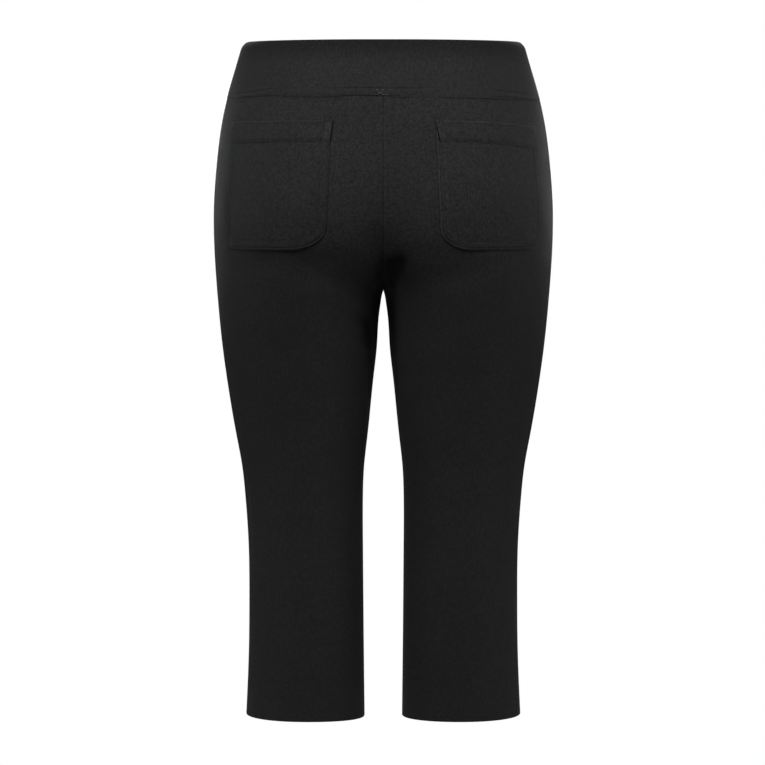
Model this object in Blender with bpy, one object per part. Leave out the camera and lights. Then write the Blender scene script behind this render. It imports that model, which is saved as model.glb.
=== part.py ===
"""Pull-on capri pants, filled out as they are when worn, with two patch pockets on the seat.

Metres, +Z up. The back of the pants faces +Y and the wearer's left side is at +X.
The origin is the middle of the waist opening.

Every piece is a wall of cloth on one form. The form is a stack of half rings, one for each
height of the left half. A place on it is a height and a distance round the cloth from the
outseam, counted towards the centre back, so a piece keeps the measures of its flat cut.
"""

import bpy
import numpy as np

MM = 0.001

# Heights
WAIST_SEAM = -70.5 * MM  # where the waistband meets the panels
HEM = -833.0 * MM
HEM_DEPTH = 48.0 * MM
HEM_STEP = 3.0 * MM  # over which the turned-up hem begins
CROTCH_ROW_AT_OUTSEAM = -385.0 * MM  # as far down the outseam as the crotch is along its seam

# Cloth
SEAM_GAP = 0.3 * MM
PANEL_THICKNESS = 1.6 * MM
HEM_THICKNESS = 3.0 * MM
WAISTBAND_THICKNESS = 2.6 * MM
WAISTBAND_PROUD = 0.4 * MM
POCKET_LIFT = 0.5 * MM
POCKET_THICKNESS = 1.2 * MM
BAND_LIFT = 0.4 * MM
BAND_THICKNESS = 1.2 * MM

# The rolled top edge of the waistband, which draws in at the sides
ROLL_IN = 5.3 * MM
ROLL_HEIGHT = 9.0 * MM

# How finely each piece is divided
PANEL_COLUMNS = 14
ROWS_ABOVE_CROTCH = 15
ROWS_BELOW_CROTCH = 14
CLOSER_AT_CROTCH = 1.3  # a power that sets the leg's rows closer together near the crotch
ROW_EASE = 3  # a power: a row starts steeply at the inner edge and levels out to the outseam
WAISTBAND_COLUMNS = 14  # from the outseam to the centre
WAISTBAND_HEIGHTS = (0.0, -3.0 * MM, -7.0 * MM, -20.0 * MM, -38.0 * MM, -56.0 * MM)
POCKET_COLUMNS = 12
BAND_ROWS = 2
POCKET_ROWS = 8
POCKET_CORNER_ROWS = 5
SAMPLES = 24  # along each quarter of a ring, to measure its length
SEAM_SAMPLES = 400  # along the crotch seam
SLOPE_STEP = 0.3 * MM  # over which the form's slope is measured
TINY = 1e-9

# The outline, in millimetres: how far out the side is, from the waist to the hem.
OUTLINE = (
    # height, side
    (0.0, 172.6),
    (-35.0, 182.8),
    (-70.0, 192.8),
    (-110.0, 200.9),
    (-150.0, 205.6),
    (-205.0, 209.3),
    (-260.0, 208.5),
    (-310.0, 205.2),
    (-374.0, 199.2),
    (-430.0, 191.6),
    (-486.0, 182.2),
    (-523.0, 175.5),
    (-560.0, 171.5),
    (-620.0, 167.5),
    (-690.0, 166.6),
    (-750.0, 167.2),
    (-833.0, 170.5),
)

# The inside of the leg, in millimetres. Above the crotch the two legs would run into each
# other, so x is negative there and the middle plane cuts them: the cut is the crotch seam.
# The crease is how sharply they meet: 0 is a smooth centre, 1 the bare cut.
INSIDE = (
    # height, inside, crease
    (0.0, -200.0, 0.0),
    (-70.0, -190.0, 0.1),
    (-130.0, -170.0, 0.6),
    (-190.0, -137.0, 1.0),
    (-240.0, -84.0, 1.0),
    (-265.0, -49.0, 1.0),
    (-285.0, -20.5, 1.0),
    (-298.0, -5.5, 1.0),
    (-307.0, 0.2, 1.0),
    (-319.0, 2.9, 1.0),
    (-337.0, 5.4, 1.0),
    (-374.0, 7.8, 1.0),
    (-411.0, 11.8, 1.0),
    (-449.0, 15.7, 1.0),
    (-486.0, 19.5, 1.0),
    (-523.0, 23.6, 1.0),
    (-560.0, 25.2, 1.0),
    (-620.0, 25.2, 1.0),
    (-710.0, 24.5, 1.0),
    (-833.0, 23.2, 1.0),
)

# Front to back, in millimetres. The share is how far across the half the fullest point is,
# and the outseam lies behind the side by the distance in the last column.
DEPTH = (
    # height, back share, back, side, front share, front, outseam
    (0.0, 0.14, 124.0, 0.0, 0.14, -124.0, 5.0),
    (-70.0, 0.24, 137.0, 2.0, 0.22, -136.0, 5.0),
    (-130.0, 0.34, 149.0, 4.0, 0.30, -140.0, 5.0),
    (-190.0, 0.42, 157.0, 6.0, 0.37, -134.0, 6.0),
    (-250.0, 0.46, 151.0, 6.0, 0.43, -126.0, 8.0),
    (-307.0, 0.49, 135.0, 5.0, 0.48, -119.0, 10.0),
    (-360.0, 0.50, 117.0, 3.0, 0.50, -112.0, 13.0),
    (-430.0, 0.50, 98.0, 0.0, 0.50, -103.0, 18.0),
    (-500.0, 0.50, 84.0, -3.0, 0.50, -92.0, 23.0),
    (-561.0, 0.50, 77.0, -4.0, 0.50, -84.0, 26.0),
    (-650.0, 0.50, 76.0, -2.0, 0.50, -77.0, 29.0),
    (-740.0, 0.50, 80.0, 1.0, 0.50, -73.0, 30.0),
    (-833.0, 0.50, 84.0, 4.0, 0.50, -71.0, 30.0),
)

# The pockets, in millimetres. The top slopes down by its drop towards the outseam, and the
# band's lower edge by its own. The inner lower corner is rounded and the outer one clipped.
# The band's inner end reaches past the pocket by the overhangs at its top and its foot.
POCKET_COLUMN_NAMES = ("top_drop", "band_drop", "corner_width", "corner_height",
                       "clip_width", "clip_height", "top_overhang", "foot_overhang")
POCKETS = {
    "left": (1.2, 2.8, 45.0, 28.0, 8.0, 16.0, 2.6, 0.7),
    "right": (7.0, 11.5, 38.0, 26.0, 20.0, 22.0, 0.5, -4.0),
}
POCKET_TOP = -98.3 * MM
POCKET_BOTTOM = -253.6 * MM
POCKET_INNER_TOP = 62.3 * MM  # from the centre back, straight across
POCKET_INNER_BOTTOM = 69.3 * MM
POCKET_OUTER = (
    # height, outer edge
    (-100.0, 182.0),
    (-130.0, 185.0),
    (-190.0, 190.7),
    (-256.0, 190.0),
)
BAND_DEPTH = 25.3 * MM
POCKET_TUCK = 1.5 * MM  # the pocket's own top is this far below the band's

SHARP_EDGE = np.radians(40)
QUARTER = 4 / 3 * np.tan(np.pi / 8)  # handle length that makes a quarter ellipse

CLOTH_COLOUR = (0.012, 0.012, 0.013, 1.0)
CLOTH_ROUGHNESS = 0.85


def curve_through(at, values):
    """The smooth curve through values at rising places, straight at both ends."""
    at = np.array(at, float)
    values = np.array(values, float)
    step = np.diff(at)
    slope = np.diff(values) / step
    count = len(at)
    matrix = np.eye(count)
    turn = np.zeros(count)
    for i in range(1, count - 1):
        matrix[i, i - 1:i + 2] = step[i - 1], 2 * (step[i - 1] + step[i]), step[i]
        turn[i] = 6 * (slope[i] - slope[i - 1])
    bend = np.linalg.solve(matrix, turn)

    def curve(place):
        i = np.clip(np.searchsorted(at, place) - 1, 0, count - 2)
        before = place - at[i]
        after = at[i + 1] - place
        cubic = (bend[i] * after ** 3 + bend[i + 1] * before ** 3) / (6 * step[i])
        start = (values[i] / step[i] - bend[i] * step[i] / 6) * after
        end = (values[i + 1] / step[i] - bend[i + 1] * step[i] / 6) * before
        return cubic + start + end

    return curve


def columns_of(table):
    """A curve over height in metres for each column after the first, in the column's own unit."""
    rows = np.array(table[::-1], float)
    return [curve_through(rows[:, 0] * MM, rows[:, i]) for i in range(1, rows.shape[1])]


SIDE_AT, = columns_of(OUTLINE)
INSIDE_AT, CREASE_AT = columns_of(INSIDE)
BACK_SHARE, BACK_AT, SIDE_DEPTH, FRONT_SHARE, FRONT_AT, OUTSEAM_BEHIND = columns_of(DEPTH)
POCKET_OUTER_AT, = columns_of(POCKET_OUTER)


def crotch_height():
    """The height at which the legs part, found by halving."""
    low = INSIDE[-1][0] * MM
    high = INSIDE[0][0] * MM
    while high - low > TINY:
        middle = (low + high) / 2
        if INSIDE_AT(middle) * MM > SEAM_GAP / 2:
            low = middle
        else:
            high = middle
    return high


def inner_quarter(height, full_x, full, middle):
    """A ring's curve from the centre seam or the inseam to its fullest point at full_x."""
    inside = INSIDE_AT(height) * MM
    wide = full_x - inside
    deep = full - middle
    cut = np.minimum((full_x - SEAM_GAP / 2) / wide, 1)
    turn = np.arcsin(cut)
    start = np.array([full_x - wide * cut, middle + deep * np.cos(turn)])
    handle = 4 / 3 * np.tan(turn / 4)
    crease = np.clip(CREASE_AT(height), 0, 1)
    end = np.array([full_x, full])
    leaving = start + handle * np.array([wide * np.cos(turn), crease * deep * np.sin(turn)])
    arriving = end - handle * np.array([wide, np.zeros_like(wide)])
    return [start, leaving, arriving, end]


def outer_quarter(start, corner, end):
    """A ring's curve that rounds a corner, as a quarter of an ellipse."""
    return [start, start + QUARTER * (corner - start), end + QUARTER * (corner - end), end]


def ring_handles(height):
    """The four curves of the half ring at each height: (heights, 4, 4 points, x and y)."""
    rolled = np.clip(1 + height / ROLL_HEIGHT, 0, None) ** 2
    side_x = SIDE_AT(height) * MM - ROLL_IN * rolled
    middle = SIDE_DEPTH(height) * MM
    back = BACK_AT(height) * MM
    front = FRONT_AT(height) * MM
    inner = np.maximum(INSIDE_AT(height) * MM, SEAM_GAP / 2)
    back_x = inner + BACK_SHARE(height) * (side_x - inner)
    front_x = inner + FRONT_SHARE(height) * (side_x - inner)
    side = np.array([side_x, middle])
    quarters = [
        inner_quarter(height, back_x, back, middle),
        outer_quarter(np.array([back_x, back]), np.array([side_x, back]), side),
        outer_quarter(side, np.array([side_x, front]), np.array([front_x, front])),
        inner_quarter(height, front_x, front, middle)[::-1],
    ]
    return np.moveaxis(np.array(quarters), -1, 0)


CROTCH = crotch_height()


def bezier(handles, share):
    """The point and the direction at a share of the way along a curve."""
    a, b, c, d = (handles[..., i, :] for i in range(4))
    t = share[..., None]
    s = 1 - t
    point = s ** 3 * a + 3 * s * s * t * b + 3 * s * t * t * c + t ** 3 * d
    direction = s * s * (b - a) + 2 * s * t * (c - b) + t * t * (d - c)
    return point, direction


def ring_lengths(handles):
    """The places sampled along each half ring, their distances along it and the points."""
    places = np.linspace(0, 4, 4 * SAMPLES + 1)
    quarter = np.minimum(places.astype(int), 3)
    shares = np.broadcast_to(places - quarter, (len(handles), len(places)))
    points, _ = bezier(handles[:, quarter], shares)
    steps = np.linalg.norm(np.diff(points, axis=1), axis=2)
    lengths = np.concatenate([np.zeros((len(handles), 1)), np.cumsum(steps, axis=1)], axis=1)
    return places, lengths, points


def look_up(lengths, target):
    """For each ring, the sample before the target and the share of the step after it."""
    before = np.clip((lengths < target[:, None]).sum(axis=1) - 1, 0, lengths.shape[1] - 2)
    rows = np.arange(len(lengths))
    low = lengths[rows, before]
    high = lengths[rows, before + 1]
    return before, np.clip((target - low) / np.maximum(high - low, TINY), 0, 1)


def outseam_at(height, lengths):
    """How far along each half ring the outseam is, from the centre back."""
    return lengths[:, 2 * SAMPLES] - OUTSEAM_BEHIND(height) * MM


def reach(height):
    """The cloth's width from the outseam to the inner edge, at the back and at the front."""
    height = np.atleast_1d(np.asarray(height, float))
    _, lengths, _ = ring_lengths(ring_handles(height))
    seam = outseam_at(height, lengths)
    return seam, lengths[:, -1] - seam


def place(height, around):
    """Points on the form at these heights and distances from the outseam, and directions."""
    handles = ring_handles(height)
    places, lengths, _ = ring_lengths(handles)
    target = np.clip(outseam_at(height, lengths) - around, 0, lengths[:, -1])
    before, share = look_up(lengths, target)
    spot = places[before] + share / SAMPLES
    quarter = np.minimum(spot.astype(int), 3)
    point, direction = bezier(handles[np.arange(len(height)), quarter], spot - quarter)
    return np.column_stack([point, height]), np.column_stack([-direction, np.zeros(len(height))])


def around_at(height, distance_out):
    """How far round from the outseam the back's cloth is this far out from the middle."""
    _, lengths, points = ring_lengths(ring_handles(height))
    before, share = look_up(points[:, :2 * SAMPLES + 1, 0], distance_out)
    rows = np.arange(len(height))
    length = lengths[rows, before] * (1 - share) + lengths[rows, before + 1] * share
    return outseam_at(height, lengths) - length


def form(height, around):
    """Points on the form and the cloth's outward directions there, for arrays of any shape."""
    shape = height.shape
    height = height.ravel()
    around = around.ravel()
    point, direction = place(height, around)
    lower, _ = place(height - SLOPE_STEP, around)
    outward = np.cross(lower - point, direction)
    outward /= np.linalg.norm(outward, axis=1)[:, None]
    return point.reshape(*shape, 3), outward.reshape(*shape, 3)


def inner_edge(front):
    """Heights along a panel's inner edge and its outseam, from the waist down to the hem."""
    top = WAIST_SEAM - SEAM_GAP / 2
    seam_height = CROTCH + (top - CROTCH) * np.linspace(0, 1, SEAM_SAMPLES) ** 2
    seam_depth = ring_handles(seam_height)[:, 3 * front, 3 * front, 1]
    along = np.concatenate([[0], np.cumsum(np.hypot(np.diff(seam_height), np.diff(seam_depth)))])
    down = np.linspace(0, 1, ROWS_ABOVE_CROTCH + 1)
    upper = np.interp(along[-1] * (1 - down), along, seam_height)
    upper_out = top + down * (CROTCH_ROW_AT_OUTSEAM - top)
    hem_top = HEM + HEM_DEPTH
    leg = np.linspace(0, 1, ROWS_BELOW_CROTCH + 1)[1:] ** CLOSER_AT_CROTCH
    lower = CROTCH + leg * (hem_top + HEM_STEP - CROTCH)
    lower = np.concatenate([lower, [hem_top, HEM + HEM_DEPTH / 2, HEM]])
    share = (lower - CROTCH) / (HEM - CROTCH)
    lower_out = CROTCH_ROW_AT_OUTSEAM + share * (HEM - CROTCH_ROW_AT_OUTSEAM)
    return np.concatenate([upper, lower]), np.concatenate([upper_out, lower_out])


def panel(front):
    """The outer and the inner points of the left leg's front or back panel."""
    edge, outseam = inner_edge(front)
    across = np.linspace(0, 1, PANEL_COLUMNS + 1)
    height = outseam[:, None] + (edge - outseam)[:, None] * (1 - across) ** ROW_EASE
    inset = np.where(edge <= CROTCH, SEAM_GAP / 2, 0)
    width = reach(edge)[int(front)] - inset
    around = SEAM_GAP / 2 + (width - SEAM_GAP / 2)[:, None] * (1 - across)
    points, outward = form(height, -around if front else around)
    turned = np.clip((HEM + HEM_DEPTH + HEM_STEP - edge) / HEM_STEP, 0, 1)
    thickness = PANEL_THICKNESS + (HEM_THICKNESS - PANEL_THICKNESS) * turned
    return points, points - outward * thickness[:, None, None]


def waistband(front):
    """The outer and the inner points of a waistband half, from one outseam to the other."""
    rows = np.array(WAISTBAND_HEIGHTS + (WAIST_SEAM + SEAM_GAP / 2,))
    across = np.linspace(0, 1, WAISTBAND_COLUMNS + 1)
    width = reach(rows)[int(front)]
    around = SEAM_GAP / 2 + (width - SEAM_GAP / 2)[:, None] * across
    height = np.broadcast_to(rows[:, None], around.shape)
    points, outward = form(height, -around if front else around)
    points[:, -1, 0] = 0.0
    outward[:, -1, 0] = 0.0
    mirror = np.array([-1, 1, 1])
    points = np.concatenate([points, (points * mirror)[:, -2::-1]], axis=1)
    outward = np.concatenate([outward, (outward * mirror)[:, -2::-1]], axis=1)
    outer = points + outward * WAISTBAND_PROUD
    return outer, outer - outward * WAISTBAND_THICKNESS


def rounded(distance, width, height):
    """How far an edge draws in at a rounded corner, at a distance above the corner's foot."""
    share = np.clip(1 - distance / height, 0, 1)
    return width * (1 - np.sqrt(1 - share ** 2))


def pocket_shape(side):
    """A pocket's sizes by name, in metres."""
    return dict(zip(POCKET_COLUMN_NAMES, np.array(POCKETS[side]) * MM))


def pocket_grid(side):
    """A pocket's grid of heights and distances round, as it would lie on the left half."""
    shape = pocket_shape(side)
    across = np.linspace(0, 1, POCKET_COLUMNS + 1)
    top = POCKET_TOP - shape["top_drop"] * across ** 2
    band = POCKET_TOP - BAND_DEPTH - shape["band_drop"] * across ** 2
    corner = POCKET_BOTTOM + shape["corner_height"]
    turn = np.linspace(0, np.pi / 2, POCKET_CORNER_ROWS + 1)[1:]
    rows = [top + (band - top) * share for share in np.linspace(0, 1, BAND_ROWS + 1)]
    rows += [band + (corner - band) * share for share in np.linspace(0, 1, POCKET_ROWS + 1)[1:]]
    rows += [np.full_like(across, corner - shape["corner_height"] * np.sin(angle)) for angle in turn]
    height = np.array(rows)
    down = (POCKET_TOP - height[:, 0]) / (POCKET_TOP - POCKET_BOTTOM)
    inner = POCKET_INNER_TOP + (POCKET_INNER_BOTTOM - POCKET_INNER_TOP) * down
    inner += rounded(height[:, 0] - POCKET_BOTTOM, shape["corner_width"], shape["corner_height"])
    outer = POCKET_OUTER_AT(height[:, -1]) * MM
    outer -= rounded(height[:, -1] - POCKET_BOTTOM, shape["clip_width"], shape["clip_height"])
    start = around_at(height[:, 0], inner)
    end = around_at(height[:, -1], outer)
    return height, start[:, None] + (end - start)[:, None] * across


def pocket_body(side):
    """The outer and the inner points of a pocket, whose top is tucked under its band."""
    height, around = pocket_grid(side)
    height[0] -= POCKET_TUCK
    points, outward = form(height, around)
    inner = points + outward * POCKET_LIFT
    return inner + outward * POCKET_THICKNESS, inner


def pocket_band(side):
    """The outer and the inner points of the band over a pocket's top, made on the pocket."""
    shape = pocket_shape(side)
    height, around = (grid[:BAND_ROWS + 1] for grid in pocket_grid(side))
    around[:, 0] += np.linspace(shape["top_overhang"], shape["foot_overhang"], BAND_ROWS + 1)
    points, outward = form(height, around)
    inner = points + outward * (POCKET_LIFT + POCKET_THICKNESS + BAND_LIFT)
    return inner + outward * BAND_THICKNESS, inner


def cloth_material(name):
    material = bpy.data.materials.new(name + "_cloth")
    material.use_nodes = True
    shader = material.node_tree.nodes["Principled BSDF"]
    shader.inputs["Base Color"].default_value = CLOTH_COLOUR
    shader.inputs["Roughness"].default_value = CLOTH_ROUGHNESS
    shader.inputs["Metallic"].default_value = 0.0
    return material


def skin_triangles(grid):
    """Triangles over a grid of points, each cell split along its shorter diagonal."""
    rows, columns, _ = grid.shape
    index = np.arange(rows * columns).reshape(rows, columns)
    a, b, c, d = index[:-1, :-1], index[1:, :-1], index[1:, 1:], index[:-1, 1:]
    points = grid.reshape(-1, 3)
    falling = np.linalg.norm(points[c] - points[a], axis=-1)
    rising = np.linalg.norm(points[d] - points[b], axis=-1)
    along = (falling <= rising)[..., None]
    first = np.where(along, np.stack([a, b, c], axis=-1), np.stack([a, b, d], axis=-1))
    second = np.where(along, np.stack([a, c, d], axis=-1), np.stack([b, c, d], axis=-1))
    return np.concatenate([first.reshape(-1, 3), second.reshape(-1, 3)])


def rim_triangles(rows, columns):
    """Triangles that join the borders of two equal grids, the second numbered after the first."""
    index = np.arange(rows * columns).reshape(rows, columns)
    border = np.concatenate([index[0, :-1], index[:-1, -1], index[-1, :0:-1], index[:0:-1, 0]])
    after = np.roll(border, -1)
    back = rows * columns
    first = np.column_stack([border, after, after + back])
    second = np.column_stack([border, after + back, border + back])
    return np.concatenate([first, second])


def facing_in(points, triangles):
    """Whether a closed wall's faces turn inwards, from the sign of its volume."""
    a, b, c = (points[triangles[:, i]] for i in range(3))
    return (a * np.cross(b, c)).sum() < 0


def wall(name, outer, inner, mirrored, collection):
    """A closed wall between two grids of points, mirrored to the right half if asked."""
    rows, columns, _ = outer.shape
    points = np.concatenate([outer.reshape(-1, 3), inner.reshape(-1, 3)])
    if mirrored:
        points = points * np.array([-1, 1, 1])
    skin = skin_triangles(outer)
    triangles = np.concatenate([skin, skin[:, ::-1] + rows * columns, rim_triangles(rows, columns)])
    if facing_in(points, triangles):
        triangles = triangles[:, ::-1]
    mesh = bpy.data.meshes.new(name)
    mesh.from_pydata(points.tolist(), [], triangles.tolist())
    mesh.shade_smooth()
    mesh.set_sharp_from_angle(angle=SHARP_EDGE)
    mesh.materials.append(cloth_material(name))
    collection.objects.link(bpy.data.objects.new(name, mesh))


def main():
    for thing in list(bpy.data.objects):
        bpy.data.objects.remove(thing)
    collection = bpy.data.collections.new("capri_pants")
    bpy.context.scene.collection.children.link(collection)
    for front, face in ((False, "back"), (True, "front")):
        wall("waistband_" + face, *waistband(front), False, collection)
        outer, inner = panel(front)
        wall(face + "_left", outer, inner, False, collection)
        wall(face + "_right", outer, inner, True, collection)
    for side in POCKETS:
        mirrored = side == "right"
        wall("pocket_" + side, *pocket_body(side), mirrored, collection)
        wall("pocket_band_" + side, *pocket_band(side), mirrored, collection)


main()
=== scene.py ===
"""The looks of the pull-on capri pants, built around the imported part.

Metres, +Z up. The back of the pants faces +Y and the wearer's left side is at +X.
Each piece of cloth stands for its solid. It is a thin wall on the same form, and adds the
rolled seams, the sewing, the turned edges and the creases.
"""

import math

import bmesh
import bpy
import numpy as np
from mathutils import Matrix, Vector


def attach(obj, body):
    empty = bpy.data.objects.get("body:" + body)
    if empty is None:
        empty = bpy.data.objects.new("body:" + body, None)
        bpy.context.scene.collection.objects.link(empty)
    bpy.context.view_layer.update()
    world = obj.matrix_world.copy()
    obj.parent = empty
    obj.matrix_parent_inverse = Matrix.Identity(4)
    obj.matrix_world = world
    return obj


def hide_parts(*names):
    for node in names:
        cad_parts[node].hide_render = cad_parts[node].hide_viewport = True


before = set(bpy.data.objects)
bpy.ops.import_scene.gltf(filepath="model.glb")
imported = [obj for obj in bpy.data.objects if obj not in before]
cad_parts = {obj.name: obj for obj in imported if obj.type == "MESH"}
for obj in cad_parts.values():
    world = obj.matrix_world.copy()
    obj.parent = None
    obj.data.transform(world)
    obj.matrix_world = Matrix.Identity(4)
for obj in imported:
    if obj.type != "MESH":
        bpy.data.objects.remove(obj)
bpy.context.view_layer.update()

MM = 0.001

# The sizes of the cut, the same as the solids'.
WAIST_SEAM = -70.5 * MM
HEM = -833.0 * MM
HEM_DEPTH = 48.0 * MM
CROTCH_ROW_AT_OUTSEAM = -385.0 * MM
SOLID_GAP = 0.3 * MM
PANEL_THICKNESS = 1.6 * MM
HEM_THICKNESS = 3.0 * MM
WAISTBAND_THICKNESS = 2.6 * MM
WAISTBAND_PROUD = 0.4 * MM
ROLL_IN = 5.3 * MM  # how far the waist's top corners draw in at the sides
ROLL_HEIGHT = 9.0 * MM

# How finely the form is worked out
SAMPLES = 24  # on each curve of a ring
SEAM_SAMPLES = 400  # along the centre seam
SLOPE_STEP = 0.3 * MM  # how far down a second point gives the cloth's slope
ROW_EASE = 3  # the power with which a panel's rows settle towards its outseam
BLOCK = 4000  # how many points are worked out at a time
TINY = 1e-9

OUTLINE = (
    # height, side
    (0.0, 172.6),
    (-35.0, 182.8),
    (-70.0, 192.8),
    (-110.0, 200.9),
    (-150.0, 205.6),
    (-205.0, 209.3),
    (-260.0, 208.5),
    (-310.0, 205.2),
    (-374.0, 199.2),
    (-430.0, 191.6),
    (-486.0, 182.2),
    (-523.0, 175.5),
    (-560.0, 171.5),
    (-620.0, 167.5),
    (-690.0, 166.6),
    (-750.0, 167.2),
    (-833.0, 170.5),
)
INSIDE = (
    # height, inside, crease
    (0.0, -200.0, 0.0),
    (-70.0, -190.0, 0.1),
    (-130.0, -170.0, 0.6),
    (-190.0, -137.0, 1.0),
    (-240.0, -84.0, 1.0),
    (-265.0, -49.0, 1.0),
    (-285.0, -20.5, 1.0),
    (-298.0, -5.5, 1.0),
    (-307.0, 0.2, 1.0),
    (-319.0, 2.9, 1.0),
    (-337.0, 5.4, 1.0),
    (-374.0, 7.8, 1.0),
    (-411.0, 11.8, 1.0),
    (-449.0, 15.7, 1.0),
    (-486.0, 19.5, 1.0),
    (-523.0, 23.6, 1.0),
    (-560.0, 25.2, 1.0),
    (-620.0, 25.2, 1.0),
    (-710.0, 24.5, 1.0),
    (-833.0, 23.2, 1.0),
)
DEPTH = (
    # height, back share, back, side, front share, front, outseam
    (0.0, 0.14, 124.0, 0.0, 0.14, -124.0, 5.0),
    (-70.0, 0.24, 137.0, 2.0, 0.22, -136.0, 5.0),
    (-130.0, 0.34, 149.0, 4.0, 0.30, -140.0, 5.0),
    (-190.0, 0.42, 157.0, 6.0, 0.37, -134.0, 6.0),
    (-250.0, 0.46, 151.0, 6.0, 0.43, -126.0, 8.0),
    (-307.0, 0.49, 135.0, 5.0, 0.48, -119.0, 10.0),
    (-360.0, 0.50, 117.0, 3.0, 0.50, -112.0, 13.0),
    (-430.0, 0.50, 98.0, 0.0, 0.50, -103.0, 18.0),
    (-500.0, 0.50, 84.0, -3.0, 0.50, -92.0, 23.0),
    (-561.0, 0.50, 77.0, -4.0, 0.50, -84.0, 26.0),
    (-650.0, 0.50, 76.0, -2.0, 0.50, -77.0, 29.0),
    (-740.0, 0.50, 80.0, 1.0, 0.50, -73.0, 30.0),
    (-833.0, 0.50, 84.0, 4.0, 0.50, -71.0, 30.0),
)
POCKET_COLUMN_NAMES = ("top_drop", "band_drop", "corner_width", "corner_height",
                       "clip_width", "clip_height", "top_overhang", "foot_overhang")
POCKETS = {
    "left": (1.2, 2.8, 45.0, 28.0, 8.0, 16.0, 2.6, 0.7),
    "right": (7.0, 11.5, 38.0, 26.0, 20.0, 22.0, 0.5, -4.0),
}
POCKET_TOP = -98.3 * MM
POCKET_BOTTOM = -253.6 * MM
POCKET_INNER_TOP = 62.3 * MM
POCKET_INNER_BOTTOM = 69.3 * MM
POCKET_OUTER = (
    # height, outer edge
    (-100.0, 182.0),
    (-130.0, 185.0),
    (-190.0, 190.7),
    (-256.0, 190.0),
)
BAND_DEPTH = 25.3 * MM
POCKET_TUCK = 1.5 * MM

# How the cloth is finished
SEAM_GAP = 0.05 * MM
SEAM_ROLL = 1.9 * MM  # how far from a seam the cloth begins to turn in
SEAM_DIP = 0.40 * MM  # and how far it has turned in at the seam
SEAM_FADE = 10.0 * MM  # creases die out this near a seam
ALLOWANCE_START = 2.5 * MM  # how far inside the form a seam allowance begins
ALLOWANCE_WIDTH = 6.0 * MM
ALLOWANCE_THICKNESS = 1.2 * MM
ALLOWANCE_LEAN = 1.6 * MM  # how far it is pressed to one side
ALLOWANCE_STEP = 4.0 * MM
POCKET_LIFT = 0.12 * MM
POCKET_THICKNESS = 0.95 * MM
POCKET_TURNING = 0.40 * MM  # the extra thickness where its edge is turned under
EDGE_STITCH = 2.8 * MM
SECOND_STITCH = {"left": 11.5 * MM, "right": 9.8 * MM}
BAND_LIFT = 0.12 * MM
BAND_THICKNESS = 1.05 * MM
STITCH_GROOVE = 0.30 * MM
STITCH_GROOVE_WIDTH = 0.75 * MM
STITCH_LENGTH = 2.3 * MM
STITCH_PITCH = 3.0 * MM
THREAD_RADIUS = 0.22 * MM
BARTACK_WIDTH = 1.7 * MM
SHARP_EDGE = math.radians(50)
QUARTER = 4 / 3 * np.tan(np.pi / 8)  # how long the handles of a quarter of an ellipse are
MIRROR = np.array([-1, 1, 1])  # from the wearer's left half to the right

IMAGE_SIDE = 765
FOCAL_PIXELS = 4038.0
SENSOR_WIDTH = 36.0
CAMERA_PLACE = (0.001, 5.0, -0.150)
CAMERA_TILT = math.radians(3.10)

FLOOR_HEIGHT = -1.10
FLOOR_RADIUS = 0.90


# Small helpers

def between(low, high, share):
    return low + (high - low) * share


def smooth(share):
    share = np.clip(share, 0, 1)
    return share * share * (3 - 2 * share)


def unit(vectors):
    return vectors / np.linalg.norm(vectors, axis=-1)[..., None]


def sums(steps):
    """The sums of the steps so far, from 0."""
    return np.concatenate([[0], np.cumsum(steps)])


# The form of the cloth

def curve_through(at, values):
    """The smooth curve through values at rising places, straight at both ends."""
    at = np.array(at, float)
    values = np.array(values, float)
    step = np.diff(at)
    slope = np.diff(values) / step
    count = len(at)
    matrix = np.eye(count)
    turn = np.zeros(count)
    for i in range(1, count - 1):
        matrix[i, i - 1:i + 2] = step[i - 1], 2 * (step[i - 1] + step[i]), step[i]
        turn[i] = 6 * (slope[i] - slope[i - 1])
    bend = np.linalg.solve(matrix, turn)

    def curve(place):
        i = np.clip(np.searchsorted(at, place) - 1, 0, count - 2)
        before = place - at[i]
        after = at[i + 1] - place
        cubic = (bend[i] * after ** 3 + bend[i + 1] * before ** 3) / (6 * step[i])
        start = (values[i] / step[i] - bend[i] * step[i] / 6) * after
        end = (values[i + 1] / step[i] - bend[i + 1] * step[i] / 6) * before
        return cubic + start + end

    return curve


def columns_of(table):
    """A curve over height in metres for each column after the first, in the column's own unit."""
    rows = np.array(table[::-1], float)
    return [curve_through(rows[:, 0] * MM, rows[:, i]) for i in range(1, rows.shape[1])]


SIDE_AT, = columns_of(OUTLINE)
INSIDE_AT, CREASE_AT = columns_of(INSIDE)
BACK_SHARE, BACK_AT, SIDE_DEPTH, FRONT_SHARE, FRONT_AT, OUTSEAM_BEHIND = columns_of(DEPTH)
POCKET_OUTER_AT, = columns_of(POCKET_OUTER)


def crotch_height():
    """The height at which the legs part, found by halving."""
    low = INSIDE[-1][0] * MM
    high = INSIDE[0][0] * MM
    while high - low > TINY:
        middle = (low + high) / 2
        if INSIDE_AT(middle) * MM > SOLID_GAP / 2:
            low = middle
        else:
            high = middle
    return high


def inner_quarter(height, full_x, full, middle):
    """A ring's curve from the centre seam or the inseam to its fullest point at full_x."""
    inside = INSIDE_AT(height) * MM
    wide = full_x - inside
    deep = full - middle
    cut = np.minimum((full_x - SEAM_GAP / 2) / wide, 1)
    turn = np.arcsin(cut)
    start = np.array([full_x - wide * cut, middle + deep * np.cos(turn)])
    handle = 4 / 3 * np.tan(turn / 4)
    crease = np.clip(CREASE_AT(height), 0, 1)
    end = np.array([full_x, full])
    leaving = start + handle * np.array([wide * np.cos(turn), crease * deep * np.sin(turn)])
    arriving = end - handle * np.array([wide, np.zeros_like(wide)])
    return [start, leaving, arriving, end]


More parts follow.
